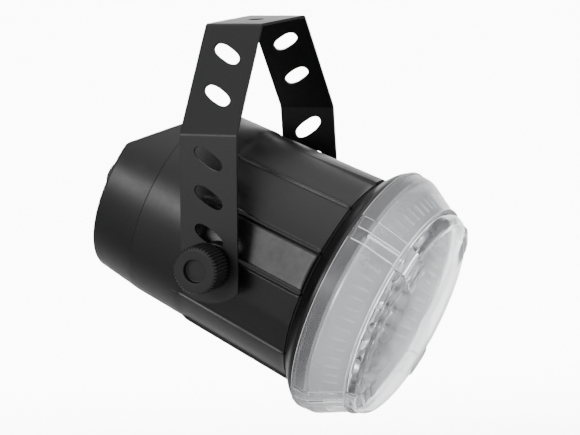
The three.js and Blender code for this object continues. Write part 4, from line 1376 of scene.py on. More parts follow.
    def build(self, shop: Workshop) -> None:
        """Makes the housing and its bosses and dresses them.

        Args:
            shop: Makes and dresses the pieces.
        """
        borders = [math.radians(value) for value in self.border_degrees]
        flank = self.strip_half_width / self.panel_end_radius
        borders.append(flank)
        centres = [*borders, *[FULL_TURN - border for border in borders]]
        angles = refined_angles(self.columns, centres, self.close_reach, self.close_step)
        outer, inner = self.outer_profile(), self.inner_profile()
        on_panel = outer[:, 0] < self.panel_end_x + 1.0
        relief = self.panel_relief(outer[:, 0], angles) * on_panel[:, None]
        outer_radius = outer[:, 1][:, None] + relief
        inner_radius = np.broadcast_to(inner[:, 1][:, None], (len(inner), len(angles)))
        shell = revolved(
            np.concatenate([outer[:, 0], inner[:, 0]]),
            np.concatenate([outer_radius, inner_radius]),
            angles,
            wrap_rows=True,
        )
        nodes = ["front_housing"]
        shop.craft("front_housing_shell", shell, HOUSING_BLACK, "head", nodes, 50)
        for side in Side:
            self.build_boss(shop, side)

    def build_boss(self, shop: Workshop, side: Side) -> None:
        """Makes the round boss that the arm is clamped against.

        Args:
            shop: Makes and dresses the pieces.
            side: The side that it is on.
        """
        profile = filleted(
            [(self.boss_back, self.boss_bore), (self.boss_back, self.boss_radius + 0.6),
             (self.boss_face - 2.4, self.boss_radius + 0.2), (self.boss_face, self.boss_radius),
             (self.boss_face, self.boss_bore)],
            [0, 0, 0.5, 0.6, 0.2],
            closed=True,
        )
        angles = around(self.boss_columns)
        patch = about_pivot_axis(profile[:, 0], profile[:, 1], angles, side, wrap_rows=True)
        shop.craft("pivot_boss_" + side.label, patch, HOUSING_BLACK, "head")


@dataclass(frozen=True)
class RearCap:
    """The short tapering cup behind the seam, with its slanted flat, and its four screws."""

    wall: float = 2.5
    seam_x: float = -53.12
    seam_radius: float = 57.2
    rear_x: float = -81.1
    rear_radius: float = 53.9
    cut_height: float = 31.3
    cut_softness: float = 0.7
    cut_wall: float = 1.4
    least_cosine: float = 0.05
    out_of_reach: float = 1e3
    edge_round: float = 1.6
    seam_groove: float = 0.1
    screw_circle: float = 46.0
    screw_degrees: tuple[float, ...] = (15.0, 165.0, 212.0, 328.0)
    screw_hole_radius: float = 3.1
    screw_seat_x: float = -78.3
    speed_hole: tuple[float, float, float] = (-20.0, 3.0, 3.7)
    inlet_hole: tuple[float, float, float] = (-24.0, 27.4, 19.4)
    lead_length: float = 1.4
    column_count: int = 480
    inside_rows: int = 10
    body_rows: int = 30
    bend_rows: int = 8

    def radius(self, x: Array, angles: Array, inset: float) -> Array:
        """The cup's radius: the lower of its cone and its slanted flat.

        The cone narrows evenly toward the rear. The flat is a plane that rises from the cut height at
        the rear to the full radius at the seam, so along an angle it is met at height / cos(angle).

        Args:
            x: Places along the axis.
            angles: Angles from the top.
            inset: How far inside the outer surface.

        Returns:
            Radii for each place and angle.
        """
        share = (x - self.rear_x) / (self.seam_x - self.rear_x)
        cone = self.rear_radius + (self.seam_radius - self.rear_radius) * share - inset
        flat = self.cut_height + (self.seam_radius - self.cut_height) * share - inset * self.cut_wall
        cosine = np.cos(angles)[None, :]
        along = flat[:, None] / np.maximum(cosine, self.least_cosine)
        met = np.where(cosine > self.least_cosine, along, self.out_of_reach)
        return soft_minimum(np.broadcast_to(cone[:, None], met.shape), met, self.cut_softness)

    def screw_places(self) -> list[tuple[float, float]]:
        """The screws' (y, z) places, with angles from the far side."""
        turned = [math.radians(value) for value in self.screw_degrees]
        return [(self.screw_circle * math.cos(a), self.screw_circle * math.sin(a)) for a in turned]

    def holes(self) -> list[Array]:
        """The outlines of the holes through the rear face.

        Returns:
            The outlines as (y, z) points.
        """
        z, width, height = self.inlet_hole
        made = [rounded_box((0.0, z), width, height, 1.0)]
        made.append(circle_outline(self.speed_hole[:2], self.speed_hole[2]))
        made += [circle_outline(place, self.screw_hole_radius) for place in self.screw_places()]
        return made

    def build(self, shop: Workshop) -> None:
        """Makes the cap and its screws and dresses them.

        Args:
            shop: Makes and dresses the pieces.
        """
        angles = around(self.column_count)
        inside_x = np.linspace(self.rear_x + self.wall, self.seam_x, self.inside_rows)
        inside = self.radius(inside_x, angles, self.wall)
        lead_x = np.array([self.seam_x, self.seam_x - self.seam_groove])
        lead = self.radius(lead_x, angles, 0.0) - np.array([[self.seam_groove], [0.0]])
        body_x = np.linspace(self.seam_x - self.lead_length, self.rear_x + self.edge_round, self.body_rows)
        body = self.radius(body_x, angles, 0.0)
        bend = np.linspace(0, math.pi / 2, self.bend_rows)[1:]
        bend_x = self.rear_x + self.edge_round * (1 - np.sin(bend))
        bend_radius = self.radius(bend_x, angles, 0.0) - self.edge_round * (1 - np.cos(bend))[:, None]
        x = np.concatenate([inside_x, lead_x, body_x, bend_x])
        radius = np.concatenate([inside, lead, body, bend_radius])
        shell = revolved(x, radius, angles, wrap_rows=False)
        inner_loop = shell.points[: self.column_count, 1:]
        outer_loop = shell.points[-self.column_count :, 1:]
        holes = self.holes()
        parts = [shell, flat_plate(inside_x[0], inner_loop, holes), flat_plate(bend_x[-1], outer_loop, holes)]
        parts += [wall_between(hole, inside_x[0], bend_x[-1]) for hole in holes]
        cap = combined(parts)
        shop.craft("rear_cap_shell", cap, HOUSING_BLACK, "head", ["rear_cap"], 40)
        for number, place in enumerate(self.screw_places(), start=1):
            head = ScrewHead(self.screw_seat_x, *place)
            head.build(shop, f"rear_screw_head_{number}", f"rear_cap_screw_{number}")


@dataclass(frozen=True)
class ScrewHead:
    """A pan head that faces backward, with a cross recess and a short shank under it.

    Attributes:
        seat_x: Where the head sits.
        y: The screw's place.
        z: The screw's place.
        length: The head's height.
        radius: The head's radius.
        dome_drop: How much lower the rim is than the middle, as a share of the height.
        cross_depth: The recess's depth, as a share of the height.
        arm_reach: How far an arm of the cross reaches, as a share of the radius.
        arm_half_width: Half an arm's width, as a share of the radius.
        columns: How many evenly spread angles there are, before closer ones at the arms.
        ring_shares: The rings' radii, as shares of the radius.
    """

    seat_x: float
    y: float
    z: float
    length: float = 2.0
    radius: float = 2.8
    dome_drop: float = 0.35
    cross_depth: float = 0.6
    arm_reach: float = 0.58
    arm_half_width: float = 0.16
    columns: int = 48
    ring_shares: tuple[float, ...] = (
        0.0, 0.05, 0.1, 0.14, 0.2, 0.3, 0.4, 0.5, 0.56, 0.62, 0.7, 0.85, 0.94, 1.0,
    )

    def slot(self, across: Array, along: Array) -> Array:
        """One in a slot of the cross and nothing beside it or past its ends."""
        inside = smoothstep((self.arm_half_width * self.radius - np.abs(across)) / (0.06 * self.radius) + 0.5)
        return inside * smoothstep((self.arm_reach * self.radius - np.abs(along)) / (0.2 * self.radius))

    def patch(self) -> Patch:
        """The closed surface.

        The head's height over the seat is a low dome, length (1 - drop (r / R)^2), less the cross:
        two slots at right angles, each deepest in the middle and nothing at the ends of its arms.

        Returns:
            The patch.
        """
        share = np.array(self.ring_shares)[:, None]
        arms = [math.radians(degrees) for degrees in (0, 90, 180, 270)]
        angles = refined_angles(self.columns, arms, math.radians(24), math.radians(3))
        rho = share * self.radius * np.ones(len(angles))
        across, up = rho * np.sin(angles), rho * np.cos(angles)
        cross = np.maximum(self.slot(across, up), self.slot(up, across))
        height = self.length * (1 - self.dome_drop * share**2) - self.cross_depth * self.length * cross
        rest = [(0.0, 1.0), (0.0, 0.5), (self.length, 0.5), (self.length, 0.0)]
        rest_x = np.array([[self.seat_x + depth] for depth, _ in rest])
        rest_radius = np.array([[self.radius * out] for _, out in rest])
        shape = (len(rest), len(angles))
        x = np.concatenate([self.seat_x - height, np.broadcast_to(rest_x, shape)])
        radius = np.concatenate([rho, np.broadcast_to(rest_radius, shape)])
        return revolved(x, radius, angles, wrap_rows=False).shifted(self.y, self.z)

    def build(self, shop: Workshop, name: str, node: str) -> None:
        """Makes the head in place of a screw's node."""
        shop.craft(name, self.patch(), ZINC_STEEL, "head", [node], 30)


# Lens cap, reflector and LEDs


FACE_MARK = 0.12
CLEAR_MARK = 0.2
# Rims and edge lines fall in the edge zone, whose white finish paints highlights.
RIM_MARK = 0.5
LINE_MARK = 0.95
INSIDE_MARK = 1.0


class LensZone(Enum):
    """Zones of the lens cap's surface, each with the place of its finish in the mesh."""

    CLEAR = 0
    # The edge zone's white finish paints highlights on the rim and the edge lines.
    EDGE = 1
    CLOUDY = 2
    INSIDE = 3
    FACE = 4

    @classmethod
    def of_mark(cls, mark: float) -> "LensZone":
        """The zone of a face, from the lowest mark among its points."""
        limits = {0.1: cls.CLOUDY, 0.15: cls.FACE, 0.35: cls.CLEAR, INSIDE_MARK: cls.EDGE}
        return next((zone for limit, zone in limits.items() if mark < limit), cls.INSIDE)


@dataclass(frozen=True)
class LensCap:
    """The clear cap: a skirt over the flange, a cone wall, a bead, a domed face and four lugs."""

    rim_x: float = 63.0
    rim_radius: float = 72.5
    rim_length: float = 2.0
    wall: float = 2.0
    cone_inset: float = 1.3
    face_wall: float = 1.2
    skirt_radius: float = 72.0
    skirt_inner: float = 70.5
    skirt_end_x: float = 71.5
    ledge_x: float = 73.1
    ledge_front_x: float = 76.1
    cone_end_x: float = 89.6
    cone_end_radius: float = 61.9
    bead_rise: float = 0.9
    face_x: float = 91.4
    face_step_radius: float = 60.6
    tip_x: float = 103.2
    face_shares: tuple[tuple[float, float], ...] = (
        (0.0, 1.0), (0.3, 0.993), (0.475, 0.967), (0.61, 0.908), (0.745, 0.776), (0.88, 0.561),
        (0.966, 0.297), (1.0, 0.0),
    )
    columns: int = 400
    lug_reach: float = math.radians(10.0)
    lug_step: float = math.radians(0.2)
    rim_rows: int = 4
    edge_row_count: int = 22
    face_radii: tuple[float, ...] = (53.0, 48.0, 42.0, 37.0, 31.0, 25.0, 19.0, 13.0, 7.0, 3.0)
    lug_degrees: tuple[float, ...] = (45.0, 135.0, 225.0, 315.0)
    lug_half_width: float = 7.5
    lug_rise: float = 0.75
    lug_edge: float = 0.3
    ridge_offset: float = 1.5
    ridge_half_width: float = 0.9
    ridge_rise: float = 0.6
    stair_radii: tuple[float, ...] = (45.0, 50.5, 55.0, 58.3)
    skirt_lines: tuple[float, ...] = (-5.7, 0.0, 6.0)
    cone_lines: tuple[tuple[float, float, float], ...] = (
        (-6.5, -8.4, 0.5), (2.0, 0.1, 1.8), (0.2, -1.5, 0.9), (6.0, 5.7, 0.5),
    )
    line_width: float = 0.55
    line_rise: float = 0.12

    def face_curve(self) -> Array:
        """The domed face from its edge to its tip, as (x, radius) points close together.

        Returns:
            The points.
        """
        depth = self.tip_x - self.face_x
        shares = np.array(self.face_shares)
        knots = np.array([self.face_x, 0.0]) + shares * np.array([depth, self.face_step_radius])
        return smooth_curve(knots, 12)

    def face_height(self, radius: Array) -> Array:
        """The face's place along the axis at a radius."""
        curve = self.face_curve()[::-1]
        return np.interp(radius, curve[:, 1], curve[:, 0])

    def face_rows(self) -> Array:
        """The face's rows from its edge to its tip, with a close pair of rows at each stair.

        Returns:
            The rows as (x, radius) points.
        """
        edge = self.face_curve()[: self.edge_row_count]
        pairs = np.add.outer(self.stair_radii, (0.1, -0.1)).ravel()
        apart = np.abs(edge[:, 1][:, None] - pairs).min(axis=1) > 0.15
        inner = [radius for radius in self.face_radii if radius < edge[-1, 1]]
        radii = np.concatenate([pairs, inner])
        rows = np.concatenate([edge[apart], np.column_stack([self.face_height(radii), radii])])
        return np.concatenate([rows[np.argsort(-rows[:, 1])], [[self.tip_x, 0.0]]])

    def outer_rows(self) -> tuple[Array, int]:
        """The outside from the rim to the tip, and how many rows come before the face.

        Returns:
            The rows as (x, radius) points, and the count.
        """
        wall = filleted(
            [(self.rim_x, self.skirt_inner), (self.rim_x, self.rim_radius),
             (self.rim_x + self.rim_length, self.rim_radius),
             (self.rim_x + self.rim_length, self.skirt_radius),
             (self.skirt_end_x, self.skirt_radius), (self.cone_end_x, self.cone_end_radius),
             (self.cone_end_x + self.bead_rise / 2, self.cone_end_radius + self.bead_rise),
             (self.cone_end_x + self.bead_rise * 1.3, self.cone_end_radius + self.bead_rise * 0.6),
             (self.cone_end_x + self.bead_rise * 1.4, self.face_step_radius - 0.4)],
            [0, 0.3, 0.3, 0.15, 2.4, 0.15, 0.35, 0.3, 0.0],
            closed=False,
            steps=3,
        )
        wall = subdivided(wall, 3.0)
        return np.concatenate([wall, self.face_rows()]), len(wall)

    def inner_rows(self) -> Array:
        """The inside from the tip back to the rim.

        Returns:
            The rows as (x, radius) points.
        """
        curve = self.face_curve()[::-1]
        along = np.gradient(curve, axis=0)
        outward = np.column_stack([along[:, 1], -along[:, 0]]) / np.linalg.norm(along, axis=1, keepdims=True)
        face = (curve - self.face_wall * outward)[::3]
        slope = (self.skirt_radius - self.cone_end_radius) / (self.cone_end_x - self.skirt_end_x)
        stops = np.array([self.cone_end_x, self.ledge_front_x])
        inset = self.wall * self.cone_inset
        cone = np.column_stack([stops, self.skirt_radius - (stops - self.skirt_end_x) * slope - inset])
        cone = subdivided(cone, 3.0)
        rest = np.array([(self.ledge_x, self.skirt_inner), (self.rim_x + 0.2, self.skirt_inner)])
        first = np.array([[self.tip_x - self.face_wall, 0.0]])
        return np.concatenate([first, face[1:], cone, rest])

    def lug_share(
        self, radius: Array, angles: Array, half_width: float, edge: float, offset: float = 0.0
    ) -> Array:
        """One on a lug and nothing beside it, with a short slope along its sides.

        Args:
            radius: The places' radii.
            angles: Their angles.
            half_width: Half the lug's width.
            edge: The slope's width.
            offset: How far the lug's middle is moved across.

        Returns:
            A share for each place.
        """
        made = np.zeros(np.broadcast_shapes(radius.shape, angles.shape))
        for centre in np.radians(self.lug_degrees):
            distance = turn_distance(angles, centre)
            across = radius * np.sin(distance) - offset
            front = np.abs(distance) < math.pi / 2
            made = np.maximum(made, smoothstep((half_width - np.abs(across)) / edge + 0.5) * front)
        return made

    def stairs(self, radius: Array) -> Array:
        """The stepped land's place along the axis: each tread is as high as the dome at its inner edge.

        Args:
            radius: The places' radii.

        Returns:
            The places along the axis.
        """
        edges = np.array([0.0, *self.stair_radii])
        index = np.searchsorted(edges, radius, side="right") - 1
        return self.face_height(edges[np.clip(index, 0, len(edges) - 1)])

    def edge_lines(self, x: Array, angles: Array) -> Array:
        """How far the lugs' bright edge lines cover each place on the wall.

        Round every lug, thin straight lines cross the skirt, and others cross the cone at an angle that
        changes evenly along it. The fields give their degrees from the lug's middle, and for a line on the
        cone how much wider than the usual width it is. Across, a line is a hump. The lines stand a little
        proud, and their white finish paints the highlights of edges in the clear plastic.

        Args:
            x: Places along the axis, one for each row.
            angles: Angles, one for each column.

        Returns:
            A share from 0 to 1 for each place and angle.
        """
        along = (x[:, None] - self.skirt_end_x) / (self.cone_end_x - self.skirt_end_x)
        on_skirt = (along < 0.0) * (x[:, None] > self.rim_x + self.rim_length)
        on_cone = (along >= 0.0) * (along < 1.0)
        radius = self.skirt_radius + (self.cone_end_radius - self.skirt_radius) * np.clip(along, 0.0, 1.0)
        made = np.zeros((len(x), len(angles)))
        for lug in self.lug_degrees:
            turned = turn_distance(angles, math.radians(lug))[None, :]
            for line in self.skirt_lines:
                across = (turned - math.radians(line)) * radius
                made = np.maximum(made, hump(across / self.line_width) * on_skirt)
            for start, end, width in self.cone_lines:
                centre = np.radians(start + (end - start) * np.clip(along, 0.0, 1.0))
                across = (turned - centre) * radius
                made = np.maximum(made, hump(across / (self.line_width * (1 + width))) * on_cone)
        return made

    def build(self, shop: Workshop) -> None:
        """Makes the cap and dresses it.

        Args:
            shop: Makes and dresses the pieces.
        """
        lugs = [math.radians(value) for value in self.lug_degrees]
        angles = refined_angles(self.columns, lugs, self.lug_reach, self.lug_step)
        rows, wall_count = self.outer_rows()
        x = np.repeat(rows[:, :1], len(angles), axis=1)
        radius = np.repeat(rows[:, 1:], len(angles), axis=1)
        on_lug = self.lug_share(radius, angles[None, :], self.lug_half_width, self.lug_edge)

        wall = slice(self.rim_rows, wall_count)
        level = np.maximum(radius[wall], self.cone_end_radius)
        radius[wall] += on_lug[wall] * (level - radius[wall] + self.lug_rise)
        on_cone = (rows[wall, 0] > self.skirt_end_x + 0.5) & (rows[wall, 0] < self.cone_end_x)
        ridge = self.lug_share(radius[wall], angles[None, :], self.ridge_half_width, 0.5, self.ridge_offset)
        radius[wall] += ridge * self.ridge_rise * on_cone[:, None]
        lines = np.zeros_like(radius)
        lines[wall] = self.edge_lines(rows[wall, 0], angles)
        radius[wall] += self.line_rise * lines[wall]

        face = slice(wall_count, len(rows) - 1)
        stepped = self.stairs(radius[face])
        land = on_lug[face] * (radius[face] > self.stair_radii[0])
        x[face] = x[face] + land * np.maximum(stepped - x[face], 0.0)

        inner = self.inner_rows()
        inner_x = np.repeat(inner[:, :1], len(angles), axis=1)
        inner_radius = np.repeat(inner[:, 1:], len(angles), axis=1)
        patch = revolved(
            np.concatenate([inner_x, x]), np.concatenate([inner_radius, radius]), angles, wrap_rows=False
        )
        outside = self.outside_marks(rows, wall_count, lines, on_lug)
        inside = np.where(inner_x < self.ledge_front_x + 0.1, CLEAR_MARK, INSIDE_MARK)
        patch.marks = np.concatenate([inside, outside]).ravel()
        piece = shop.craft("lens_cap_clear", patch, CLEAR_LENS, "head", ["lens_cap"], 38)
        for finish in (PAINTED_HIGHLIGHT_EDGE, CLOUDY_LENS, LENS_INSIDE, LENS_FACE):
            piece.data.materials.append(shop.material(finish))
        marks = np.zeros(len(piece.data.vertices))
        piece.data.attributes[MARKS].data.foreach_get("value", marks)
        for polygon in piece.data.polygons:
            lowest = min(marks[index] for index in polygon.vertices)
            polygon.material_index = LensZone.of_mark(lowest).value

    def outside_marks(self, rows: Array, wall_count: int, lines: Array, on_lug: Array) -> Array:
        """The outside's marks, by which its faces fall into zones.

        Args:
            rows: The outside's (x, radius) rows.
            wall_count: How many of them come before the face.
            lines: How far an edge line covers each point.
            on_lug: How far each point is on a lug.

        Returns:
            A mark for each point.
        """
        number = np.arange(len(rows))[:, None]
        skirt = (rows[:, :1] < self.skirt_end_x) * (number < wall_count)
        # The rim's thin band and the edge lines take the white edge finish, a painted highlight.
        rim = (rows[:, :1] < self.rim_x + 0.6) * (rows[:, 1:] > self.rim_radius - 0.35)
        domed = FACE_MARK * (number >= wall_count - 1) * (on_lug < 0.5)
        marks = np.maximum(lines, np.maximum(CLEAR_MARK * skirt + RIM_MARK * rim, domed))
        return np.clip(marks, 0.0, LINE_MARK)


@dataclass(frozen=True)
class LightSource:
    """The silvered reflector with a cup round each LED, and the LEDs."""

    board_front_x: float = 62.6
    base_x: float = 69.2
    base_radius: float = 47.6
    lip_back_x: float = 71.7
    lip_front_x: float = 72.9
    lip_radius: float = 70.0
    throat_radius: float = 64.3
    front_x: float = 88.4
    front_radius: float = 56.9
    wall: float = 1.2
    ring_counts: tuple[int, ...] = (1, 7, 14)
    ring_pitch: float = 15.51
    led_radius: float = 4.0
    led_flange_radius: float = 4.6
    led_flange_length: float = 1.2
    led_length: float = 11.5
    led_columns: int = 36
    led_bend_rows: int = 10
    led_flange_slope: float = 0.15
    cup_columns: int = 20
    cup_lift: float = 0.6
    cup_profile: tuple[tuple[float, float], ...] = (
        (0.0, 0.0), (0.0, 0.7), (2.6, 0.7), (3.4, 1.7), (4.6, 1.9), (4.6, 1.6), (3.9, 1.0), (3.9, 0.6),
        (4.2, 0.5), (4.2, 0.0),
    )
    cup_floor_radius: float = 4.9
    cup_slope: float = 0.75
    cup_limit: float = 3.2
    floor_rows: int = 64
    floor_fade: float = 3.0
    floor_shade: tuple[float, float] = (1.2, 1.6)
    floor_shade_edge: tuple[float, float] = (5.0, 2.0)
    foot_bumps: int = 34
    bump_columns: int = 18
    foot_middle: float = 57.0
    foot_half_depth: float = 6.6
    foot_height: float = 3.0
    foot_step: float = 0.6
    foot_shade: float = 0.45
    foot_shade_edge: tuple[float, float] = (1.05, 0.2)
    ridge_pitch: float = 5.6
    ridges_each_side: int = 6
    ridge_half_width: float = 1.1
    ridge_start_x: float = 75.0
    ridge_end_x: float = 84.3
    ridge_run_in: float = 6.0
    ridge_rise: float = 0.7
    ridge_shade: float = 0.4
    liner_step: float = 1.0

    def ridges(self, x: Array, angles: Array) -> Array:
        """Where the short ridges stand on the liner, outside and inside alike.

        A group of ridges stands midway between each two lugs. A ridge is a round hump across, and
        along the beam it rises evenly to where it stops.

        Args:
            x: Places along the axis, one for each row.
            angles: Angles, one for each column.

        Returns:
            A share from 0 to 1 for each place and angle.
        """
        run = np.clip((x - self.ridge_start_x) / self.ridge_run_in, 0.0, 1.0) * (x < self.ridge_end_x)
        made = np.zeros((len(x), len(angles)))
        for quarter in range(4):
            for step in range(-self.ridges_each_side, self.ridges_each_side + 1):
                centre = math.radians(quarter * 90.0 + step * self.ridge_pitch)
                across = turn_distance(angles, centre)[None, :] * self.throat_radius
                made = np.maximum(made, hump(across / self.ridge_half_width))
        return made * run[:, None]

    def led_places(self) -> list[tuple[float, float]]:
        """The LEDs' (y, z) places, ring by ring.

        Returns:
            The places.
        """
        made = []
        for number, count in enumerate(self.ring_counts):
            for index in range(count):
                angle = index / count * FULL_TURN + math.pi / 2
                out = number * self.ring_pitch
                made.append((out * math.cos(angle), out * math.sin(angle)))
        return made

    def reflector(self) -> Patch:
        """The reflector: a floor of conical cups, a foot of round bumps, and a smooth liner.

        The floor's height is the distance to the nearest LED, past the cup's floor radius, times the cup's
        slope, up to a limit. A bump on the foot is a dome, sqrt(1 - across^2 - along^2). The mark is painted
        shade: it is one at the bottom of a cup and between two bumps, and lower between two ridges of the
        liner, so that the ridges stand out as painted highlights.

        Returns:
            The closed patch, with its marks.
        """
        columns = self.foot_bumps * self.bump_columns
        angles = around(columns)
        radii = np.linspace(0.0, self.base_radius, self.floor_rows)
        y, z = -radii[:, None] * np.sin(angles), radii[:, None] * np.cos(angles)
        places = np.array(self.led_places())
        distance = np.min([np.hypot(y - p, z - q) for p, q in places], axis=0)
        cup = np.clip((distance - self.cup_floor_radius) * self.cup_slope, 0.0, self.cup_limit)
        fade = smoothstep((self.base_radius - radii[:, None]) / self.floor_fade)
        floor_x = self.base_x + cup * fade
        floor_radius = np.repeat(radii[:, None], columns, axis=1)
        # Painted shade at the bottom of each cup, fading out toward the floor's edge.
        darkest, depth = self.floor_shade
        edge, run_out = self.floor_shade_edge
        floor_painted_shade = smoothstep(darkest - cup / depth)
        floor_painted_shade = floor_painted_shade * smoothstep((self.base_radius - edge - radii[:, None]) / run_out)

        foot_ends = np.array([(self.base_x, self.base_radius), (self.lip_front_x, self.throat_radius)])
        foot = subdivided(foot_ends, self.foot_step)[1:-1]
        turn = FULL_TURN / self.foot_bumps
        across = ((angles + turn / 2) % turn - turn / 2) / (turn / 2)
        along = (foot[:, 1] - self.foot_middle) / self.foot_half_depth
        dome = np.sqrt(np.clip(1.0 - across[None, :] ** 2 - along[:, None] ** 2, 0.0, None))
        foot_x = foot[:, :1] + self.foot_height * dome
        foot_radius = np.repeat(foot[:, 1:], columns, axis=1)
        # Painted shade between the foot's bumps.
        edge, run_out = self.foot_shade_edge
        foot_painted_shade = smoothstep(1.0 - dome / self.foot_shade)
        foot_painted_shade = foot_painted_shade * smoothstep((edge - np.abs(along[:, None])) / run_out)

        liner_ends = np.array([(self.lip_front_x, self.throat_radius), (self.front_x, self.front_radius)])
        liner = subdivided(liner_ends, self.liner_step)
        ridge_end = (self.ridge_end_x + 0.1, self.ridge_end_x - 0.1)
        stops = np.array([self.front_x, *ridge_end, self.ridge_start_x, self.lip_front_x])
        slope = (self.front_radius - self.throat_radius) / (self.front_x - self.lip_front_x)
        outer_radius = self.throat_radius + self.wall + slope * (stops - self.lip_front_x)
        outer = subdivided(np.column_stack([stops, outer_radius]), self.liner_step)
        rest = np.array([
            (self.lip_front_x, self.lip_radius),
            (self.lip_back_x, self.lip_radius),
            (self.lip_back_x, self.throat_radius + 0.6),
            (self.base_x - self.wall, self.base_radius + 1.0),
            (self.base_x - self.wall, 0.0),
        ])
        plain = np.concatenate([liner, outer, rest])
        plain_radius = np.repeat(plain[:, 1:], columns, axis=1)
        # Painted shade between the liner's ridges, which leaves the ridges as painted highlights.
        plain_painted_shade = np.zeros(plain_radius.shape)
        ridged = slice(len(liner), len(liner) + len(outer))
        ridges = self.ridges(outer[:, 0], angles)
        plain_radius[ridged] += self.ridge_rise * ridges
        plain_painted_shade[ridged] = self.ridge_shade * (1.0 - ridges)
        inner_ridges = self.ridges(liner[:, 0], angles)
        plain_radius[: len(liner)] -= self.ridge_rise * inner_ridges
        plain_painted_shade[: len(liner)] = self.ridge_shade * (1.0 - inner_ridges)
        x = np.concatenate([floor_x, foot_x, np.repeat(plain[:, :1], columns, axis=1)])
        radius = np.concatenate([floor_radius, foot_radius, plain_radius])
        hollow = np.concatenate([floor_painted_shade, foot_painted_shade, plain_painted_shade])
        patch = revolved(x, radius, angles, wrap_rows=False)
        return Patch(patch.points, patch.faces, hollow.ravel())

    def led_body(self, y: float, z: float) -> Patch:
        """A clear LED: a flange, a straight body and a half-round top.

        Args:
            y: The LED's place.
            z: The LED's place.

        Returns:
            The closed patch.
        """
        start = self.board_front_x
        tip = start + self.led_length
        bend = np.linspace(0, math.pi / 2, self.led_bend_rows)
        dome = self.led_radius * np.column_stack([np.sin(bend), np.cos(bend)])
        dome = dome + np.array([tip - self.led_radius, 0.0])
        base = np.array([
            (start, 0.0),
            (start, self.led_flange_radius),
            (start + self.led_flange_length, self.led_flange_radius),
            (start + self.led_flange_length + self.led_flange_slope, self.led_radius),
        ])
        profile = np.concatenate([base, dome])
        profile[-1, 1] = 0.0
        angles = around(self.led_columns)
        patch = revolved(profile[:, 0], profile[:, 1], angles, wrap_rows=False)
        return patch.shifted(y, z)

    def led_cup(self, y: float, z: float) -> Patch:
        """The small silvered cup and its chip, inside an LED.

        Args:
            y: The LED's place.
            z: The LED's place.

        Returns:
            The closed patch.
        """
        start = self.board_front_x + self.led_flange_length + self.cup_lift
        profile = np.array(self.cup_profile) + np.array([start, 0.0])
        angles = around(self.cup_columns)
        patch = revolved(profile[:, 0], profile[:, 1], angles, wrap_rows=False)
        return patch.shifted(y, z)

    def build(self, shop: Workshop) -> None:
        """Makes the reflector, the LEDs and their cups and dresses them.

        Args:
            shop: Makes and dresses the pieces.
        """
        dish = self.reflector()
        shop.craft("reflector_dish", dish, SILVERED_DISH, "head", ["reflector"], 30)
        for number, place in enumerate(self.led_places(), start=1):
            name, nodes = f"led_body_{number:02d}", [f"led_{number:02d}"]
            shop.craft(name, self.led_body(*place), CLEAR_EPOXY, "head", nodes)
        cups = combined([self.led_cup(y, z) for y, z in self.led_places()])
        shop.craft("led_cups", cups, SILVERED, "head")


# Pivot clamps


@dataclass(frozen=True)
class PivotClamp:
    """The clamps: on each side a knurled knob outside the arm and a rubber washer inside it."""

    base: float = 70.2
    collar_radius: float = 8.0
    collar_length: float = 1.4
    radius: float = 13.0
    length: float = 14.6
    teeth: int = 42
    tooth_columns: int = 10
    tooth_depth: float = 0.8
    tooth_start: float = 0.3
    tooth_fade: float = 0.7
    valley_power: float = 1.6
    front_bevel: float = 1.5
    face_radius: float = 11.6
    recess_radius: float = 6.4
    recess_depth: float = 3.0
    washer_from: float = 64.5
    washer_to: float = 66.1
    washer_radius: float = 9.0
    washer_bore: float = 3.4
    washer_columns: int = 72

    def knob(self, side: Side) -> Patch:
        """The knob: rounded teeth round its rim that run out at the front bevel, and a round recess.

        Args:
            side: The side that it is on.

        Returns:
            The closed patch.
        """
        back = self.base + self.collar_length
        front = back + self.length
        rim = filleted(
            [(self.base, 0.0), (self.base, self.collar_radius), (back, self.collar_radius),
             (back, self.radius), (front - self.front_bevel, self.radius),
             (front - 0.25, self.face_radius + 0.25), (front, self.face_radius), (front, self.recess_radius),
             (front - self.recess_depth, self.recess_radius - 0.15), (front - self.recess_depth, 0.0)],
            [0, 0.4, 0, 0.6, 0.5, 0.1, 0.3, 0.35, 0.5, 0],
            closed=False,
            steps=6,
        )
        rim = subdivided(rim, 2.5)
        angles = around(self.teeth * self.tooth_columns)
        fade = smoothstep((rim[:, 1] - self.face_radius - self.tooth_start) / self.tooth_fade)
        fade = fade * (rim[:, 0] > back - 0.01)
        valley = (0.5 - 0.5 * np.cos(self.teeth * angles)) ** self.valley_power
        radius = rim[:, 1][:, None] - self.tooth_depth * fade[:, None] * valley[None, :]
        return about_pivot_axis(rim[:, 0], radius, angles, side, wrap_rows=False)

    def washer(self, side: Side) -> Patch:
        """The rubber ring between the boss and the arm.

        Args:
            side: The side that it is on.

        Returns:
            The closed patch.
        """
        profile = filleted(
            [(self.washer_from, self.washer_bore), (self.washer_from, self.washer_radius),
             (self.washer_to, self.washer_radius), (self.washer_to, self.washer_bore)],
            [0.2, 0.35, 0.35, 0.2],
            closed=True,
            steps=4,
        )
        angles = around(self.washer_columns)
        return about_pivot_axis(profile[:, 0], profile[:, 1], angles, side, wrap_rows=True)

    def build(self, shop: Workshop) -> None:
        """Makes both clamps and dresses them.

        Args:
            shop: Makes and dresses the pieces.
        """
        for side in Side:
            label = side.label
            knob, body, nodes = self.knob(side), label + "_clamp", ["clamp_knob_" + label]
            shop.craft("knurled_knob_" + label, knob, KNOB_BLACK, body, nodes, 45)
            washer, nodes = self.washer(side), ["pivot_washer_" + label]
            shop.craft("rubber_washer_" + label, washer, WASHER_RUBBER, "head", nodes)
            shop.refinish("clamp_stud_" + label, ZINC_STEEL)
            shop.refinish("threaded_insert_" + label, MACHINED_BRASS)


# Rear panel


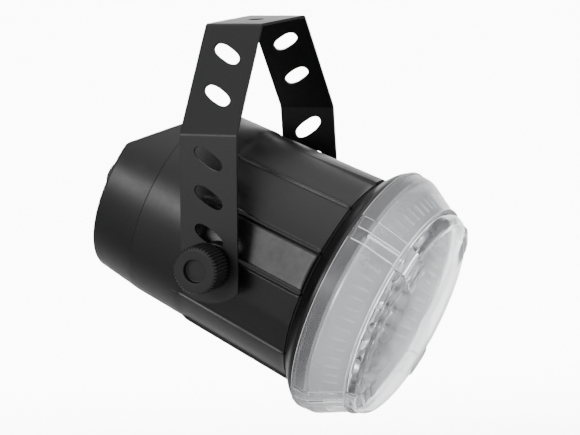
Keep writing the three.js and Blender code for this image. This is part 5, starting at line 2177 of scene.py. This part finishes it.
@dataclass(frozen=True)
class SpeedControl:
    """The fluted speed knob on the rear face, with its pointer line."""

    y: float = -20.0
    z: float = 3.0
    base_x: float = -81.4
    length: float = 12.4
    radius: float = 8.0
    top_radius: float = 7.2
    flutes: int = 18
    flute_columns: int = 14
    flute_depth: float = 0.5
    nut_room: float = 5.8
    nut_depth: float = 2.4
    pointer_width: float = 1.2
    pointer_depth: float = 0.35
    pointer_stand: float = 0.02
    pointer_seat: float = 0.3
    pointer_place: float = 0.55
    pointer_reach: float = 0.62

    def knob(self) -> Patch:
        """The knob: a skirt, a fluted grip that tapers a little, and a slightly dished face.

        Returns:
            The closed patch.
        """
        front = self.base_x - self.length
        rim = filleted(
            [(self.base_x - self.nut_depth, 0.0), (self.base_x - self.nut_depth, self.nut_room),
             (self.base_x, self.nut_room), (self.base_x, self.radius), (self.base_x - 2.0, self.radius),
             (self.base_x - 2.6, self.top_radius + 0.3),
             (front, self.top_radius), (front, self.top_radius - 1.6),
             (front + 0.35, self.top_radius - 2.2), (front + 0.35, 0.0)],
            [0, 0, 0, 0.4, 0.4, 0.3, 0.9, 0.2, 0.2, 0],
            closed=False,
            steps=5,
        )
        rim = subdivided(rim, 2.0)
        angles = around(self.flutes * self.flute_columns)
        grip = smoothstep((self.base_x - 2.8 - rim[:, 0]) / 0.5) * smoothstep((rim[:, 0] - front - 0.4) / 0.8)
        grip = grip * (rim[:, 1] > self.top_radius - 0.5)
        flute = (0.5 - 0.5 * np.cos(self.flutes * angles)) ** 2
        radius = rim[:, 1][:, None] - self.flute_depth * grip[:, None] * flute[None, :]
        patch = revolved(rim[:, 0], radius, angles, wrap_rows=False)
        return patch.shifted(self.y, self.z)

    def pointer(self) -> Patch:
        """The pointer line, let into the knob's face.

        Returns:
            The closed patch.
        """
        front = self.base_x - self.length
        centre = (self.y, self.z + self.top_radius * self.pointer_place)
        line = rounded_box(centre, self.pointer_width, self.top_radius * self.pointer_reach, 0.3)
        return slab(front - self.pointer_stand, front + self.pointer_depth + self.pointer_seat, line)

    def build(self, shop: Workshop) -> None:
        """Makes the knob and its pointer and dresses them.

        Args:
            shop: Makes and dresses the pieces.
        """
        knob, nodes = self.knob(), ["speed_knob"]
        shop.craft("speed_knob_fluted", knob, KNOB_BLACK, "speed_control", nodes, 45)
        shop.craft("speed_knob_pointer", self.pointer(), POINTER_WHITE, "speed_control")
        for node in ("speed_potentiometer", "potentiometer_nut", "potentiometer_shaft"):
            shop.refinish(node, ZINC_STEEL)


@dataclass(frozen=True)
class PowerInlet:
    """The mains inlet: a flange with two screws, a socket recess and three flat pins."""

    z: float = -24.0
    back_x: float = -81.3
    front_x: float = -83.7
    body_end_x: float = -65.6
    floor_x: float = -68.8
    width: float = 27.0
    height: float = 19.0
    flange_width: float = 48.0
    flange_height: float = 23.0
    screw_spread: float = 40.0
    screw_hole_radius: float = 1.9
    screw_gap: float = 0.2
    socket_width: float = 23.8
    socket_height: float = 15.8
    socket_chamfer: float = 4.2
    pin_width: float = 2.0
    pin_height: float = 4.0
    pin_tip_x: float = -73.8
    pin_seat: float = 4.0
    flange_round: float = 3.5
    case_round: float = 1.2
    socket_round: float = 0.8
    pin_round: float = 0.4
    body_edge: float = 0.3
    pin_edge: float = 0.35
    pins: tuple[tuple[str, float, float], ...] = (
        ("line", -7.0, 0.0),
        ("neutral", 7.0, 0.0),
        ("earth", 0.0, 4.0),
    )

    def socket(self) -> Array:
        """The recess's outline, with its two upper corners cut off.

        Returns:
            The outline.
        """
        across, up, cut = self.socket_width / 2, self.socket_height / 2, self.socket_chamfer
        right = [(across, -up), (across, up - cut), (across - cut, up)]
        left = [(-y, z) for y, z in reversed(right)]
        corners = [left[-1], *right, *left[:-1]]
        radii = [self.socket_round] * len(corners)
        return filleted(corners, radii, closed=True) + np.array([0.0, self.z])

    def build(self, shop: Workshop) -> None:
        """Makes the inlet, its pins and its screws and dresses them.

        Args:
            shop: Makes and dresses the pieces.
        """
        socket = self.socket()
        spread_y = self.screw_spread / 2
        holes = [circle_outline((y, self.z), self.screw_hole_radius, 32) for y in (-spread_y, spread_y)]
        rim = rounded_box((0.0, self.z), self.flange_width, self.flange_height, self.flange_round)
        case = rounded_box((0.0, self.z), self.width, self.height, self.case_round)
        body = combined([
            slab(self.front_x, self.back_x, rim, [socket, *holes]),
            slab(self.back_x - 0.4, self.floor_x, case, [socket]),
            slab(self.floor_x - 0.3, self.body_end_x, case),
        ])
        piece = shop.craft("inlet_housing", body, KNOB_BLACK, "head", ["power_inlet"])
        bevel_edges(piece, self.body_edge)
        for label, y, z in self.pins:
            outline = rounded_box((y, self.z + z), self.pin_width, self.pin_height, self.pin_round)
            blade = slab(self.pin_tip_x, self.floor_x + self.pin_seat, outline)
            nodes = ["inlet_pin_" + label]
            pin = shop.craft("contact_pin_" + label, blade, ZINC_STEEL, "head", nodes)
            bevel_edges(pin, self.pin_edge)
        for side in Side:
            head = ScrewHead(self.front_x - self.screw_gap, side.value * spread_y, self.z)
            head.build(shop, "inlet_screw_head_" + side.label, "inlet_screw_" + side.label)


def finish_electronics(shop: Workshop) -> None:
    """Gives the pieces inside the head their finishes.

    Args:
        shop: Gives the finishes.
    """
    finishes = {
        "led_board": SOLDER_MASK,
        "control_board": SOLDER_MASK,
        "mains_transformer": VARNISHED_IRON,
        "storage_capacitor": CAN_SLEEVE,
        "driver_heat_sink": EXTRUDED_ALUMINIUM,
        "led_lead": LEAD_SHEATH,
        "mains_lead": LEAD_SHEATH,
    }
    for node, finish in finishes.items():
        shop.refinish(node, finish)
    for number in (1, 2, 3):
        shop.refinish(f"led_board_screw_{number}", ZINC_STEEL)


# Studio


@dataclass(frozen=True)
class StudioCamera:
    """The camera at the photograph's angle."""

    azimuth: float = math.radians(25.37)
    elevation: float = math.radians(10.07)
    roll: float = math.radians(-2.06)
    distance: float = 1111.0
    target: tuple[float, float, float] = (16.31, 0.0, -111.13)
    focal_pixels: float = 1979.84
    frame_width: int = 580
    sensor_width: float = 36.0
    clip: tuple[float, float] = (0.05, 30.0)

    def build(self) -> None:
        """Makes the scene's camera."""
        cos = math.cos(self.elevation)
        back = Vector((math.sin(self.azimuth) * cos, -math.cos(self.azimuth) * cos, math.sin(self.elevation)))
        right = (-back).cross(Vector((0, 0, 1))).normalized()
        up = right.cross(-back)
        rolled_right = right * math.cos(self.roll) + up * math.sin(self.roll)
        rolled_up = up * math.cos(self.roll) - right * math.sin(self.roll)
        place = Vector(self.target) * MM + back * self.distance * MM
        matrix = Matrix((rolled_right, rolled_up, back)).transposed().to_4x4()
        matrix.translation = place
        data = bpy.data.cameras.new("photo_camera")
        data.sensor_width = self.sensor_width
        data.lens = self.focal_pixels * self.sensor_width / self.frame_width
        data.clip_start, data.clip_end = self.clip
        camera = bpy.data.objects.new("photo_camera", data)
        camera.matrix_world = matrix
        bpy.context.scene.collection.objects.link(camera)
        bpy.context.scene.camera = camera


@dataclass(frozen=True)
class SoftBox:
    """A rectangular area light that faces the head or straight down.

    Attributes:
        name: The light's name.
        place: Where it is, in metres.
        width: Its width, in metres.
        height: Its height, in metres.
        power: Its power, in watts.
        spread: How wide its beam is, in degrees.
        turned: Its turn about the vertical, in degrees, for a light that faces straight down; none
            for a light that faces the head.
        mirrored: Whether glossy surfaces mirror it.
    """

    name: str
    place: tuple[float, float, float]
    width: float
    height: float
    power: float
    spread: float = 180.0
    turned: float | None = None
    mirrored: bool = True

    def build(self, target: Vector) -> None:
        """Makes the light.

        Args:
            target: What it looks at, unless it is turned to face down.
        """
        data = bpy.data.lights.new(self.name, "AREA")
        data.shape = "RECTANGLE"
        data.size, data.size_y = self.width, self.height
        data.energy = self.power
        data.spread = math.radians(self.spread)
        light = bpy.data.objects.new(self.name, data)
        light.location = self.place
        light.visible_glossy = self.mirrored
        if self.turned is None:
            direction = target - Vector(self.place)
            light.rotation_euler = direction.to_track_quat("-Z", "Y").to_euler()
        else:
            light.rotation_euler = (0.0, 0.0, math.radians(self.turned))
        bpy.context.scene.collection.objects.link(light)


@dataclass(frozen=True)
class Glow:
    """A soft patch of brightness in the surround.

    Attributes:
        toward: Its direction.
        starts: The cosine of the angle from that direction at which it starts.
        full: The cosine at which it is at its full strength.
        strength: Its full strength.
    """

    toward: tuple[float, float, float]
    starts: float
    full: float
    strength: float


@dataclass(frozen=True)
class Studio:
    """A pale floor, a white surround and soft lights."""

    floor_z: float = -0.42
    floor_size: float = 40.0
    dim: float = 0.1
    glows: tuple[Glow, ...] = (
        Glow((0.75, -0.6, 0.1), -0.5, 0.6, 0.65),
        Glow((-0.42, -0.86, -0.3), 0.6, 0.95, 0.35),
        Glow((-0.42, 0.89, 0.175), 0.75, 0.95, 1.9),
        Glow((0.0, 0.0, 1.0), 0.6, 0.95, 1.2),
        Glow((-0.55, 0.6, -0.6), 0.5, 0.97, 0.6),
    )
    lights: tuple[SoftBox, ...] = (
        SoftBox("key_box", (-0.6, -1.37, 0.44), 0.9, 0.34, 8.6),
        SoftBox("lens_box", (1.5, 0.0, -0.35), 0.8, 0.8, 21.0, mirrored=False),
        SoftBox("floor_panel", (-2.0, 4.2, 1.0), 3.6, 8.4, 1250.0, spread=40.0, turned=25.4),
    )

    def build(self, shop: Workshop) -> None:
        """Makes the floor, the surround and the lights.

        Args:
            shop: Makes and dresses the pieces.
        """
        half = self.floor_size / 2
        side = np.linspace(-half, half, 9) / MM
        y, x = np.meshgrid(side, side)
        points = np.stack([x, y, np.full_like(x, self.floor_z / MM)], -1)
        floor = make_piece("studio_floor", grid(points))
        floor.data.materials.append(shop.material(FLOOR_PAPER))
        floor.visible_glossy = False
        self.build_surround()
        for light in self.lights:
            light.build(Vector(shop.head.pivot) * MM)

    def build_surround(self) -> None:
        """Makes the world: dim, with a soft glow toward each of a few directions."""
        world = bpy.data.worlds.new("surround")
        bpy.context.scene.world = world
        world.use_nodes = True
        world.node_tree.nodes.clear()
        build = NodeBuilder(world.node_tree)
        direction = build.add("ShaderNodeTexCoord").outputs["Generated"]
        strength: Socket | float = self.dim
        for glow in self.glows:
            toward = build.add("ShaderNodeVectorMath", operation="DOT_PRODUCT")
            build.join(direction, toward.inputs[0])
            toward.inputs[1].default_value = Vector(glow.toward).normalized()
            share = build.remap(toward.outputs["Value"], glow.starts, glow.full, 0.0, glow.strength)
            strength = build.math("ADD", share, strength)
        back = build.add("ShaderNodeBackground")
        back.inputs["Color"].default_value = (1.0, 1.0, 1.0, 1.0)
        build.join(strength, back.inputs["Strength"])
        out = build.add("ShaderNodeOutputWorld")
        build.join(back.outputs[0], out.inputs["Surface"])


def main() -> None:
    """Builds the camera, every sub-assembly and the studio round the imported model."""
    logging.basicConfig(level=logging.INFO, format="%(message)s")
    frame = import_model()
    StudioCamera().build()
    shop = Workshop(frame)
    shells = (Bracket(), FrontHousing(), RearCap(), LensCap())
    fittings = (LightSource(), PivotClamp(), SpeedControl(), PowerInlet())
    for assembly in (*shells, *fittings):
        assembly.build(shop)
    finish_electronics(shop)
    Studio().build(shop)


if __name__ == "__main__":
    main()
